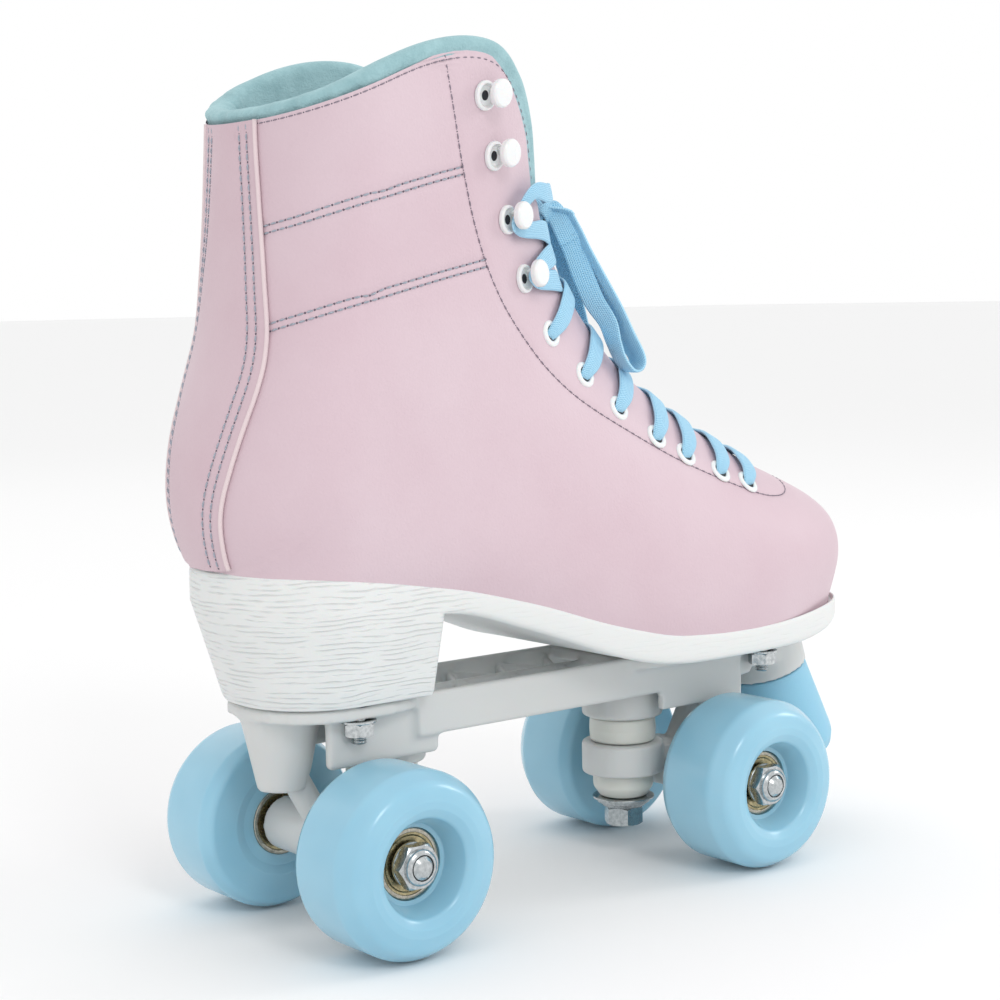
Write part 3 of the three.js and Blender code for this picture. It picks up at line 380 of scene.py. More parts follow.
def drawnPoint(rib, share):
    row = smoothTable(ribs, rib)
    frontX, frontZ, backX, backZ, square, widest, frontPower, backPower = np.moveaxis(row, -1, 0)
    half = np.sqrt(np.maximum(square, 0.16))
    foot = np.minimum(np.where(rib < heelRib, footHalf(backX), 0), 0.97 * half)
    frontShare = 0.55
    angle = np.clip(share / frontShare, 0, 1) * math.pi / 2
    frontWidth = half * np.sin(angle) ** (2 / frontPower)
    frontAlong = widest * (1 - np.abs(np.cos(angle)) ** (2 / frontPower))
    reach = (1 - (foot / half) ** backPower) ** (1 / backPower)
    backTurn = np.arcsin(np.minimum(1, reach ** (backPower / 2)))
    angle = np.clip((share - frontShare) / (1 - frontShare), 0, 1) * backTurn
    backWidth = half * np.maximum(0, np.cos(angle)) ** (2 / backPower)
    backAlong = widest + (1 - widest) * np.sin(angle) ** (2 / backPower) / reach
    front = share < frontShare
    width = np.where(front, frontWidth, backWidth)
    along = np.where(front, frontAlong, backAlong)
    return np.stack([frontX + (backX - frontX) * along, -width, frontZ + (backZ - frontZ) * along], -1)


# share below 0 is the wearer's left side; out is measured outwards from the leather's face
def bootPoint(rib, share, out=0.0, withNormal=False):
    rib, share = np.broadcast_arrays(np.asarray(rib, float), np.asarray(share, float))
    side = np.where(share < 0, -1.0, 1.0)
    way = np.abs(share)
    nudge = 0.01
    across = drawnPoint(rib, np.minimum(1, way + nudge)) - drawnPoint(rib, np.maximum(0, way - nudge))
    above, below = np.minimum(22, rib + 5 * nudge), np.maximum(0.01, rib - 5 * nudge)
    up = drawnPoint(above, way) - drawnPoint(below, way)
    normal = -np.cross(across, up)
    flat = (way < 1e-6) | ((way > 1 - 1e-6) & (rib >= heelRib))
    normal[..., 1] = np.where(flat, 0, normal[..., 1])
    normal /= np.linalg.norm(normal, axis=-1, keepdims=True) + 1e-12
    point = drawnPoint(rib, way) + normal * np.asarray(out)[..., None]
    turn = np.stack([np.ones_like(side), side, np.ones_like(side)], -1)
    point = point * turn
    return (point, normal * turn) if withNormal else point


def edgeAt(table, rib):
    return np.interp(rib, table[:, 0], table[:, 1])


# making pieces
def toMetres(points):
    points = np.asarray(points, float)
    return (points + np.array([shift, 0, deckHeight])) * mm


def makeMesh(name, points, faces, material, body="root", uv=None):
    mesh = bpy.data.meshes.new(name)
    mesh.from_pydata(toMetres(points).tolist(), [], [tuple(int(k) for k in face) for face in faces])
    if uv is not None:
        layer = mesh.uv_layers.new(name="along")
        corner = np.zeros(len(mesh.loops), int)
        mesh.loops.foreach_get("vertex_index", corner)
        layer.data.foreach_set("uv", np.asarray(uv, float)[corner].ravel())
    mesh.polygons.foreach_set("use_smooth", [True] * len(mesh.polygons))
    mesh.update()
    piece = bpy.data.objects.new(name, mesh)
    bpy.context.scene.collection.objects.link(piece)
    mesh.materials.append(material)
    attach(piece, body)
    return piece


def gridFaces(rows, columns, aroundColumns=False):
    r = np.arange(rows - 1)
    c = np.arange(columns if aroundColumns else columns - 1)
    r, c = (a.ravel() for a in np.meshgrid(r, c, indexing="ij"))
    nextRow, nextColumn = r + 1, (c + 1) % columns
    return np.stack([r * columns + c, r * columns + nextColumn, nextRow * columns + nextColumn,
                             nextRow * columns + c], -1)


def selectOnly(piece):
    bpy.ops.object.select_all(action="DESELECT")
    bpy.context.view_layer.objects.active = piece
    piece.select_set(True)


def tidyMesh(piece, gap=1e-6, outwards=False):
    selectOnly(piece)
    bpy.ops.object.mode_set(mode="EDIT")
    bpy.ops.mesh.select_all(action="SELECT")
    bpy.ops.mesh.remove_doubles(threshold=gap)
    if outwards:
        bpy.ops.mesh.normals_make_consistent(inside=False)
    bpy.ops.object.mode_set(mode="OBJECT")
    bpy.ops.object.select_all(action="DESELECT")
    return piece


def applyModifier(piece, kind, settings):
    selectOnly(piece)
    modifier = piece.modifiers.new(kind.lower(), kind)
    for name, value in settings.items():
        setattr(modifier, name, value)
    bpy.ops.object.modifier_apply(modifier=modifier.name)
    bpy.ops.object.select_all(action="DESELECT")


def sweep(path, normals, widths, heights, sides=10, power=1.0, capped=True):
    # a tube along a path, wide across the normal and high along it; returns points, faces and uv
    path, normals = np.asarray(path, float), np.asarray(normals, float)
    ahead = np.gradient(path, axis=0)
    ahead /= np.linalg.norm(ahead, axis=1, keepdims=True) + 1e-12
    across = np.cross(ahead, normals)
    across /= np.linalg.norm(across, axis=1, keepdims=True) + 1e-12
    up = np.cross(across, ahead)
    angle = np.linspace(0, math.tau, sides, endpoint=False)
    c, s = np.cos(angle), np.sin(angle)
    c, s = np.sign(c) * np.abs(c) ** power, np.sign(s) * np.abs(s) ** power
    widths, heights = np.broadcast_to(widths, len(path)), np.broadcast_to(heights, len(path))
    rings = (path[:, None] + across[:, None] * (c[None, :, None] * widths[:, None, None] / 2)
             + up[:, None] * (s[None, :, None] * heights[:, None, None] / 2))
    along = np.concatenate([[0], np.cumsum(np.linalg.norm(np.diff(path, axis=0), axis=1))])
    uv = np.stack([np.broadcast_to(c, rings.shape[:2]), np.broadcast_to(along[:, None], rings.shape[:2])],
                  -1)
    points = rings.reshape(-1, 3)
    faces = gridFaces(len(path), sides, aroundColumns=True)
    ends = []
    if capped:
        ends = [list(range(sides))[::-1], [len(points) - sides + k for k in range(sides)]]
    return points, [list(f) for f in faces] + ends, uv.reshape(-1, 2)


def joinParts(parts):
    points, faces, uvs, start = [], [], [], 0
    for p, f, uv in parts:
        points.append(p)
        faces += [[k + start for k in face] for face in f]
        uvs.append(uv)
        start += len(p)
    return np.vstack(points), faces, np.vstack(uvs)


# bow: the loops and ends of the tied lace
laceLook = {"width": 7.2, "thick": 1.25}
bowLook = {"width": 7.4, "thick": 1.2}
bowRoutes = {
    "loop": [
        [23, -8, 150], [24.5, -10.5, 144.5], [26, -13.5, 138], [29.5, -17, 128.7], [33.5, -20, 119.3],
        [37, -22, 110.6], [40.3, -23, 104], [41.2, -23, 100.4], [40, -22.5, 98], [37.3, -22, 98],
        [34.4, -21, 101.8], [32.5, -20, 107.5], [31, -18.8, 114], [27.7, -15.5, 121.5], [25, -12.8, 131],
        [23.2, -11, 138.5], [21.6, -10, 142.5]],
    "end": [
        [23, -3.7, 147], [26.5, -4, 142.5], [31, -4.4, 136], [36, -6, 127], [40, -7.5, 119.5],
        [44, -9.5, 112],
        [48, -10.5, 105], [50, -11.5, 101], [49.5, -12, 97.7]],
}


def ribbonPart(path, normals, widths, thick=None):
    points, faces, uv = sweep(path, normals, widths, thick or laceLook["thick"], 16, 0.5)
    uv = uv / np.array([1, 0.8])
    return points, faces, uv


def makeBow():
    for side, word in ((1, "right"), (-1, "left")):
        for kind, route in bowRoutes.items():
            stops = np.array(route, float) * [1, side, 1]
            path = smoothTable(stops, np.linspace(0, len(stops) - 1, 12 * len(stops)))
            ahead = np.gradient(path, axis=0)
            ahead /= np.linalg.norm(ahead, axis=1, keepdims=True)
            # the strip is bent about its width, which lies across the skate and twists on the way back
            twist = np.clip((np.linspace(0, 1, len(path)) - 0.6) / 0.35, 0, 1)[:, None] * (kind == "loop")
            twist = twist * twist * (3 - 2 * twist)
            width = np.array([0.12, side, 0]) * (1 - twist) + np.array([-0.76, side * 0.62, 0]) * twist
            facing = np.cross(width, ahead)
            points, faces, uv = ribbonPart(path, facing, bowLook["width"], bowLook["thick"])
            name = f"{word}Bow{kind.title()}"
            piece = makeMesh(name, points, faces, laceWeave, uv=uv)
            tidyMesh(piece, 1e-7, True)
            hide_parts(f"bow_{kind}_{word}")


makeBow()
print("bow made")


# seams
def ontoLeather(points, guess):
    # the [rib, share] of the leather nearest to each point, by a few Newton steps
    place, step = guess.copy(), 0.002
    for turn in range(16):
        here = bootPoint(place[:, 0], place[:, 1])
        dRib = (bootPoint(place[:, 0] + step, place[:, 1]) - here) / step
        dShare = (bootPoint(place[:, 0], place[:, 1] + step) - here) / step
        for k in range(len(place)):
            basis = np.stack([dRib[k], dShare[k]], 1)
            move = np.linalg.lstsq(basis, points[k] - here[k], rcond=None)[0]
            place[k] += np.clip(move * 0.7, (-0.3, -0.03), (0.3, 0.03))
        place[:, 1] = np.clip(place[:, 1], 0.001, 0.999)
    return place


def seamLine(stops, count=140):
    # a smooth line over the leather through [rib, share] stops
    stops = np.array(stops, float)
    way = np.linspace(0, len(stops) - 1, count)
    guess = np.stack([np.interp(way, np.arange(len(stops)), stops[:, k]) for k in (0, 1)], -1)
    return ontoLeather(smoothTable(bootPoint(stops[:, 0], stops[:, 1]), way), guess)


def evenPath(points, spacing):
    gaps = np.linalg.norm(np.diff(points, axis=0), axis=1)
    along = np.concatenate([[0], np.cumsum(gaps)])
    count = max(2, int(round(along[-1] / spacing)) + 1)
    wanted = np.linspace(0, along[-1], count)
    return np.stack([np.interp(wanted, along, points[:, k]) for k in range(points.shape[1])], -1)


seams = {
    "eyestay": [[21.86, 0.505], [19.59, 0.445], [16.03, 0.357], [12.35, 0.325], [10.28, 0.321],
                [8.75, 0.301],
                [7.35, 0.292], [5.93, 0.295], [5.08, 0.28], [4.53, 0.231], [4.2, 0.12], [4.15, 0.0]],
    "upperBand": [[20.75, 0.909], [20.75, 0.805], [20.7, 0.705], [20.57, 0.601], [20.3, 0.541],
                  [19.96, 0.503],
                  [19.49, 0.446]],
    "lowerBand": [[19.16, 0.848], [19.06, 0.736], [18.8, 0.621], [18.3, 0.541], [17.69, 0.495],
                  [16.97, 0.433],
                  [16.07, 0.359]],
}
bandGap = 2.2  # between the two rows of a band, in millimetres
needleStep = 3.0


def shiftedSeam(place, distance):
    # moves a seam sideways over the leather by a distance in millimetres
    points, normals = bootPoint(place[:, 0], place[:, 1], 0, True)
    ahead = np.gradient(points, axis=0)
    side = np.cross(normals, ahead)
    side /= np.linalg.norm(side, axis=1, keepdims=True)
    step = 0.02
    dRib = (bootPoint(place[:, 0] + step, place[:, 1]) - points) / step
    dShare = (bootPoint(place[:, 0], place[:, 1] + step) - points) / step
    moved = place.copy()
    for k in range(len(place)):
        basis = np.stack([dRib[k], dShare[k]], 1)
        moved[k] += np.linalg.lstsq(basis, side[k] * distance, rcond=None)[0]
    return moved


def borderPath():
    # the leather's edge from the knot up the throat and round to the middle of the back
    frontRibs = np.linspace(15.6, 21.8, 60)
    front = np.stack([frontRibs, edgeAt(throatEdge, frontRibs)], -1)
    top = np.stack([np.full(80, topRib), np.linspace(0.52, 0.999, 80)], -1)
    path = np.vstack([front, top])
    for k in (0, 1):
        path[:, k] = np.convolve(np.pad(path[:, k], 3, mode="edge"), np.ones(7) / 7, mode="valid")
    return path


def seamRows():
    rows = {}
    rows["eyestay"] = seamLine(seams["eyestay"], 220)
    for band in ("upperBand", "lowerBand"):
        first = seamLine(seams[band], 90)
        rows[band + "Top"] = first
        rows[band + "Bottom"] = shiftedSeam(first, bandGap)
    ribsUp = np.linspace(15.0, topRib, 120)
    edge = np.stack([ribsUp, edgeAt(backstayEdge, ribsUp)], -1)
    edge[:, 1] = np.convolve(np.pad(edge[:, 1], 6, mode="edge"), np.ones(13) / 13, mode="valid")
    rows["backstayEdge"] = edge
    rows["backstayFront"] = shiftedSeam(edge, 4.2)
    rows["backstayRear"] = shiftedSeam(edge, 7.6)
    rows["border"] = shiftedSeam(borderPath(), 1.2)
    return rows


rows = seamRows()
print("seams laid out")


def distanceTo(points, line):
    best = np.full(len(points), 1e9)
    for a, b in zip(line[:-1], line[1:]):
        along = b - a
        t = np.clip(((points - a) @ along) / (along @ along + 1e-12), 0, 1)
        best = np.minimum(best, np.linalg.norm(points - a - t[:, None] * along, axis=1))
    return best


# upper
upperLook = {"columns": 186, "stitchSink": 0.4, "stitchReach": 1.5, "edgeTurn": 2.2}


def makeUpper():
    ribRows = np.concatenate([np.linspace(0, 1, 12)[:-1], np.linspace(1, 5, 30)[:-1],
                              np.linspace(5, 15, 110)[:-1], np.linspace(15, topRib, 108)])
    columns = upperLook["columns"]
    share = np.linspace(0, 1, columns)
    edge = edgeAt(throatEdge, ribRows)
    grid = edge[:, None] + (1 - edge[:, None]) * share[None, :]
    ribGrid = np.repeat(ribRows[:, None], columns, 1)
    half, normals = bootPoint(ribGrid, grid, 0, True)
    flat = half.reshape(-1, 3)
    relief = np.zeros(len(flat))
    for name in ("eyestay", "upperBandTop", "upperBandBottom", "lowerBandTop", "lowerBandBottom"):
        line = bootPoint(rows[name][:, 0], rows[name][:, 1])[::3]
        near = distanceTo(flat, line)
        relief -= upperLook["stitchSink"] * np.exp(-(near / upperLook["stitchReach"]) ** 2)
    for name in ("upperBand", "lowerBand"):
        middle = shiftedSeam(rows[name + "Top"], bandGap / 2)
        near = distanceTo(flat, bootPoint(middle[:, 0], middle[:, 1])[::3])
        relief += 0.35 * np.exp(-(near / 1.0) ** 2)
    half = (flat + normals.reshape(-1, 3) * relief[:, None]).reshape(half.shape)
    inner = bootPoint(ribGrid[:, :1], grid[:, :1], -upperLook["edgeTurn"])
    inner2 = bootPoint(ribGrid[:, :1], grid[:, :1] + 0.012, -upperLook["edgeTurn"] - 0.1)
    closed = edge < 1e-6
    rim = half[:, :1] * 0.5 + inner * 0.5
    rim[:, 0] += (half[:, 0] - half[:, 1]) * 0.12 * (~closed)[:, None]
    strip = np.concatenate([inner2, inner, rim], 1)
    strip[closed] = half[closed][:, :1]
    sideGrid = np.concatenate([strip, half], 1)
    # below the throat the two sides meet on the centre line
    sideGrid[closed, :4, 1] = 0
    sideGrid[0, :, 1] = 0
    heelClosed = ribRows >= heelRib
    sideGrid[heelClosed, -1, 1] = 0
    skirt = sideGrid[:, -1:].copy()  # the lower edge goes on down inside the sole
    skirt[~heelClosed, 0, 2] -= 4
    sideGrid = np.concatenate([sideGrid, skirt], 1)
    count = sideGrid.shape[0] * sideGrid.shape[1]
    rightSide = sideGrid.reshape(-1, 3)
    leftSide = rightSide * np.array([1, -1, 1])
    faces = gridFaces(sideGrid.shape[0], sideGrid.shape[1])
    allFaces = np.vstack([faces, faces[:, ::-1] + count])
    piece = makeMesh("bootUpper", np.vstack([rightSide, leftSide]), allFaces, pinkLeather)
    tidyMesh(piece, 2e-5)
    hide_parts("vamp", "quarter_right", "quarter_left")
    return piece


makeUpper()
print("upper made")

backstayLook = {"thickness": 0.9, "leftReach": 0.09, "columns": 26, "pipeRadius": 0.7}


def sideOf(row, side):
    # the boot isn't quite square to its wheels, so the panel reaches further round on the left
    return row if side > 0 else row - [0, backstayLook["leftReach"]]


def makeBackstay():
    columns, halves = backstayLook["columns"], []
    for side in (1, -1):
        edge = sideOf(rows["backstayEdge"], side)
        share = np.linspace(0, 1, columns)
        grid = edge[:, 1:] + (1 - edge[:, 1:]) * share[None, :]
        ribGrid = np.repeat(edge[:, :1], columns, 1)
        half, normals = bootPoint(ribGrid, grid, backstayLook["thickness"], True)
        flat = half.reshape(-1, 3)
        relief = np.zeros(len(flat))
        for name in ("backstayFront", "backstayRear"):
            row = sideOf(rows[name], side)
            line = bootPoint(row[:, 0], row[:, 1], backstayLook["thickness"])[::3]
            relief -= 0.35 * np.exp(-(distanceTo(flat, line) / 1.2) ** 2)
        half = (flat + normals.reshape(-1, 3) * relief[:, None]).reshape(half.shape)
        under = bootPoint(ribGrid[:, :1], grid[:, :1], -0.4)
        sheet = np.concatenate([under, half], 1)
        sheet[:, -1, 1] = 0
        halves.append(sheet.reshape(-1, 3) * [1, side, 1])
    faces = gridFaces(len(edge), columns + 1)
    piece = makeMesh("backstayPanel", np.vstack(halves), np.vstack([faces, faces[:, ::-1] + len(halves[0])]),
                     backstayShadeLeather)
    tidyMesh(piece, 2e-5)
    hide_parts("backstay")
    return piece


def makePiping():
    parts = []
    for side in (1, -1):
        edge = sideOf(rows["backstayEdge"], side)
        path, normals = bootPoint(edge[:, 0], side * edge[:, 1], 0.75, True)
        thick = 2 * backstayLook["pipeRadius"]
        parts.append(sweep(path, normals, thick, thick, 10))
    points, faces, uv = joinParts(parts)
    piece = makeMesh("backstayPiping", points, faces, pipingHighlightLeather, uv=uv)
    tidyMesh(piece, 1e-7, True)


stitchLook = {"length": 2.1, "lift": 0.18, "bold": 0.62, "fine": 0.42}


def stitchParts(place, side, out, thick):
    # one short rounded bead of thread for each needle step, with a dark needle hole between
    points, normals = bootPoint(place[:, 0], side * place[:, 1], out, True)
    for turn in range(3):
        points[1:-1] = (points[:-2] + 2 * points[1:-1] + points[2:]) / 4
    even = evenPath(np.hstack([points, normals]), needleStep)
    threads, holes = [], []
    angle = np.linspace(0, math.tau, 6, endpoint=False)
    for a, b in zip(even[:-1], even[1:]):
        middle = (a[:3] + b[:3]) / 2
        normal = (a[3:] + b[3:]) / 2
        normal /= np.linalg.norm(normal)
        ahead = b[:3] - a[:3]
        ahead /= np.linalg.norm(ahead)
        across = np.cross(normal, ahead)
        rings = []
        for t, r in ((-1, 0.25), (-0.75, 0.8), (0, 1), (0.75, 0.8), (1, 0.25)):
            centre = middle + ahead * t * stitchLook["length"] / 2
            centre = centre + normal * (stitchLook["lift"] - 0.25 * t * t)
            turn = np.cos(angle)[:, None] * across + np.sin(angle)[:, None] * normal
            rings.append(centre + turn * r * thick / 2)
        ring = np.vstack(rings)
        ends = [[5, 4, 3, 2, 1, 0], [24, 25, 26, 27, 28, 29]]
        faces = [list(f) for f in gridFaces(5, 6, aroundColumns=True)] + ends
        uv = np.stack([np.tile(np.cos(angle), 5), np.repeat(np.arange(5), 6) * 0.5], -1)
        threads.append((ring, faces, uv))
    turn = np.linspace(0, math.tau, 8, endpoint=False)
    for point in even:
        normal = point[3:] / np.linalg.norm(point[3:])
        across = np.cross(normal, [0.3, 0.2, 0.9])
        across /= np.linalg.norm(across)
        other = np.cross(normal, across)
        circle = np.cos(turn)[:, None] * across + np.sin(turn)[:, None] * other
        disc = point[:3] + normal * 0.06 + circle * thick * 0.55
        bottom = point[:3] - normal * 0.3
        faces = [[k, (k + 1) % 8, 8] for k in range(8)] + [list(range(8))[::-1]]
        holes.append((np.vstack([disc, bottom[None]]), faces, np.zeros((9, 2))))
    return threads, holes


def makeStitching():
    sets = {
        "bandStitches": (("upperBandTop", "upperBandBottom", "lowerBandTop", "lowerBandBottom"),
                         -0.22, "bold", threadMaterial),
        "eyestayStitches": (("eyestay",), -0.3, "fine", darkThread),
        "backstayStitches": (("backstayFront", "backstayRear"),
                             backstayLook["thickness"] - 0.28, "bold", threadMaterial),
        "borderStitches": (("border",), -0.02, "fine", darkThread),
    }
    allHoles = []
    for name, (lines, out, weight, material) in sets.items():
        threads = []
        for line in lines:
            for side in (1, -1):
                row = sideOf(rows[line], side) if line.startswith("backstay") else rows[line]
                made, holes = stitchParts(row, side, out, stitchLook[weight])
                threads += made
                allHoles += holes
        points, faces, uv = joinParts(threads)
        tidyMesh(makeMesh(name, points, faces, material, uv=uv), 1e-7, True)
    points, faces, uv = joinParts(allHoles)
    tidyMesh(makeMesh("needleHoles", points, faces, holeMaterial, uv=uv), 1e-7, True)


makeBackstay()
makePiping()
makeStitching()
print("backstay, piping and stitching made")


# collar, lining and tongue (the footbed is moulded with the plate)
collarLook = {"height": 4.8, "thick": 8.4, "depth": 10, "frontHeight": 5.0, "frontThick": 4.2,
              "frontDepth": 5, "ring": 30}


def closedSmooth(points, count):
    points = np.asarray(points, float)
    n = len(points)
    wanted = np.linspace(0, n, count, endpoint=False)
    k = np.floor(wanted).astype(int)
    t = (wanted - k)[:, None]
    p0, p1, p2, p3 = (points[(k + s) % n] for s in (-1, 0, 1, 2))
    return 0.5 * (2 * p1 + (p2 - p0) * t + (2 * p0 - 5 * p1 + 4 * p2 - p3) * t ** 2
                  + (3 * p1 - p0 - 3 * p2 + p3) * t ** 3)


def makeCollar():
    half = borderPath()
    half[-1, 1] = 1
    full = np.vstack([half * [1, 1], half[:-1][::-1] * [1, -1]])
    points, normals = bootPoint(full[:, 0], full[:, 1], 0, True)
    halfCount = len(half)
    ahead = np.gradient(points, axis=0)
    ahead /= np.linalg.norm(ahead, axis=1, keepdims=True)
    beyond = np.cross(ahead, normals)
    beyond /= np.linalg.norm(beyond, axis=1, keepdims=True)
    beyond *= np.sign(beyond[halfCount - 1, 2])
    along = np.abs(np.arange(len(full)) - (halfCount - 1))
    swell = 1 - np.clip((along - 52) / 44, 0, 1)
    swell = swell * swell * (3 - 2 * swell)
    height = collarLook["frontHeight"] + (collarLook["height"] - collarLook["frontHeight"]) * swell
    thick = collarLook["frontThick"] + (collarLook["thick"] - collarLook["frontThick"]) * swell
    depth = collarLook["frontDepth"] + (collarLook["depth"] - collarLook["frontDepth"]) * swell
    tail = np.clip((halfCount - 1 - along) / 14, 0, 1) ** 0.5
    height, thick = height * (0.25 + 0.75 * tail), thick * (0.35 + 0.65 * tail)
    shape = closedSmooth([(-0.1, -0.30), (-0.05, 0.05), (0.05, 0.35), (0.03, 0.68), (-0.16, 0.93),
                          (-0.42, 1.0),
                          (-0.72, 0.9), (-0.95, 0.6), (-1.05, 0.1), (-1.0, -0.9), (-0.75, -1.0),
                          (-0.45, -0.95)],
                         collarLook["ring"])
    rings = []
    for k in range(len(full)):
        o = shape[:, 0] * thick[k] - 0.6 + 1.1 * (1 - swell[k])
        b = np.where(shape[:, 1] > 0, shape[:, 1] * height[k], shape[:, 1] * depth[k])
        ring = points[k] + normals[k] * o[:, None] + beyond[k] * b[:, None]
        rings.append(ring)
    rings = np.array(rings)
    beat = np.arange(len(full))
    softness = 0.22 * np.sin(beat * 0.37) + 0.15 * np.sin(beat * 0.83 + 1)
    rings += normals[:, None] * (softness * swell)[:, None, None]
    ringCount = shape.shape[0]
    faces = [list(f) for f in gridFaces(len(full), ringCount, aroundColumns=True)]
    faces += [list(range(ringCount))[::-1], [(len(full) - 1) * ringCount + k for k in range(ringCount)]]
    piece = makeMesh("paddedCollar", rings.reshape(-1, 3), faces, tealKnit)
    tidyMesh(piece, 1e-7, True)
    applyModifier(piece, "SUBSURF", {"levels": 1, "render_levels": 1})
    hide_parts("collar")
    return piece


def makeLining():
    ribRows = np.linspace(0.6, 21.45, 90)
    edge = edgeAt(throatEdge, ribRows) + 0.02 * (ribRows > 4.9)
    share = np.linspace(0, 1, 60)
    grid = edge[:, None] + (1 - edge[:, None]) * share
    ribGrid = np.repeat(ribRows[:, None], 60, 1)
    outer = bootPoint(ribGrid, grid, -3.2)
    inner = bootPoint(ribGrid, grid, -4.6)
    side = np.concatenate([outer, inner[:, ::-1]], 1)
    count = side.shape[0] * side.shape[1]
    faces = gridFaces(side.shape[0], side.shape[1])
    right = side.reshape(-1, 3)
    piece = makeMesh("bootLining", np.vstack([right, right * [1, -1, 1]]),
                     np.vstack([faces, faces[:, ::-1] + count]),
                     insideKnitPaintedShade)
    tidyMesh(piece, 2e-5)
    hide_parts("lining")


tongueLook = {"thick": 4.2, "sink": 3.6, "half": 0.3}


def makeTongue():
    ribRows = np.linspace(5.4, 18.9, 80)
    across = np.linspace(-1, 1, 41)
    t = (ribRows - ribRows[0]) / (ribRows[-1] - ribRows[0])
    tip = np.minimum(1, np.sqrt(np.clip((1 - t) / 0.08, 0.0004, 1)))
    width = tongueLook["half"] * tip * (0.72 + 0.28 * t)
    share = across[None, :] * width[:, None]
    share = np.where(np.abs(share) < 1e-5, 1e-5, share)
    ribGrid = np.repeat(ribRows[:, None], 41, 1)
    smoothStep = np.clip((ribRows - 8) / 8, 0, 1)
    sink = tongueLook["sink"] + 5.2 * smoothStep ** 2 * (3 - 2 * smoothStep)
    crown = np.sqrt(np.clip(1 - np.abs(across) ** 4, 0, 1)) * np.sqrt(np.clip((1 - t) / 0.05, 0, 1))[:, None]
    top = bootPoint(ribGrid, share, -(sink[:, None] + tongueLook["thick"] / 2 * (1 - crown)))
    bottom = bootPoint(ribGrid, share, -(sink[:, None] + tongueLook["thick"] / 2 * (1 + crown)))
    piece = makeMesh("paddedTongue", np.vstack([top.reshape(-1, 3), bottom.reshape(-1, 3)]),
                     np.vstack([gridFaces(80, 41), gridFaces(80, 41)[:, ::-1] + 80 * 41]), pinkLeather)
    tidyMesh(piece, 2e-5, True)
    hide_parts("tongue")


makeCollar()
makeLining()
makeTongue()
print("collar, lining and tongue made")

# turned and moulded hardware
def rounded(corners, closed=True, pieces=5):
    # corners are (radius, height, rounding); each is replaced by a small arc
    outline, last = [], len(corners) - 1
    for k, (r, h, size) in enumerate(corners):
        if not size or (not closed and k in (0, last)):
            outline.append((r, h))
            continue
        here = Vector((r, h))
        before = Vector(corners[k - 1][:2]) - here
        after = Vector(corners[(k + 1) % len(corners)][:2]) - here
        half = before.angle(after) / 2
        cut = min(size / math.tan(half), before.length * 0.49, after.length * 0.49)
        start, end = here + before.normalized() * cut, here + after.normalized() * cut
        for step in range(pieces + 1):
            t = step / pieces
            outline.append(tuple(start.lerp(here, t).lerp(here.lerp(end, t), t)))
    return outline


def finishPiece(piece, name, material, body, place=None, smoothAngle=35):
    piece.name = name
    piece.data.name = name
    piece.data.transform(Matrix.Scale(mm, 4))
    if place is not None:
        piece.data.transform(place)
    piece.data.materials.clear()
    piece.data.materials.append(material)
    selectOnly(piece)
    bpy.ops.object.shade_smooth_by_angle(angle=math.radians(smoothAngle))
    bpy.ops.object.select_all(action="DESELECT")
    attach(piece, body)
    return piece


def turned(outline, steps=72, closed=True):
    # turns an outline of (radius, height) about Z, in millimetres at the origin
    mesh = bpy.data.meshes.new("turned")
    count = len(outline)
    links = [(k, (k + 1) % count) for k in range(count if closed else count - 1)]
    mesh.from_pydata([(r, 0, h) for r, h in outline], links, [])
    piece = bpy.data.objects.new("turned", mesh)
    bpy.context.scene.collection.objects.link(piece)
    selectOnly(piece)
    bpy.ops.object.mode_set(mode="EDIT")
    bpy.ops.mesh.select_all(action="SELECT")
    bpy.ops.mesh.spin(steps=steps, angle=math.tau, center=(0, 0, 0), axis=(0, 0, 1))
    bpy.ops.mesh.select_all(action="SELECT")
    bpy.ops.mesh.remove_doubles(threshold=1e-4)
    bpy.ops.mesh.normals_make_consistent(inside=False)
    bpy.ops.object.mode_set(mode="OBJECT")
    bpy.ops.object.select_all(action="DESELECT")
    return piece


def primitive(kind, bevel=0, segments=3, **settings):
    bpy.ops.object.select_all(action="DESELECT")
    getattr(bpy.ops.mesh, "primitive_" + kind + "_add")(**settings)
    piece = bpy.context.object
    bpy.ops.object.transform_apply(location=True, rotation=True, scale=True)
    if bevel:
        applyModifier(piece, "BEVEL", {"width": bevel, "segments": segments, "limit_method": "ANGLE"})
    bpy.ops.object.select_all(action="DESELECT")
    return piece


def boolean(piece, other, operation="UNION"):
    applyModifier(piece, "BOOLEAN", {"object": other, "operation": operation, "solver": "EXACT"})
    bpy.data.objects.remove(other)
    return piece


def joined(first, *others):
    bpy.ops.object.select_all(action="DESELECT")
    for piece in (first, *others):
        piece.select_set(True)
    bpy.context.view_layer.objects.active = first
    bpy.ops.object.join()
    bpy.ops.object.select_all(action="DESELECT")
    return first


def hexNut(flats, low, high, bore):
    # a hexagon whose corners are turned off by a cone, with a bore
    nut = primitive("cylinder", vertices=6, radius=flats / math.sqrt(3), depth=high - low,
                    location=(0, 0, (low + high) / 2), rotation=(0, 0, math.radians(30)))
    middle = flats / 2
    cone = turned([(0, low - 0.1), (middle * 1.0, low - 0.1), (middle * 1.25, low + middle * 0.16),
                   (middle * 1.25, high - middle * 0.16), (middle * 1.0, high + 0.1), (0, high + 0.1)],
                  64, False)
    boolean(nut, cone, "INTERSECT")
    hole = primitive("cylinder", vertices=40, radius=bore, depth=high - low + 4,
                     location=(0, 0, (low + high) / 2))
    boolean(nut, hole, "DIFFERENCE")
    return nut


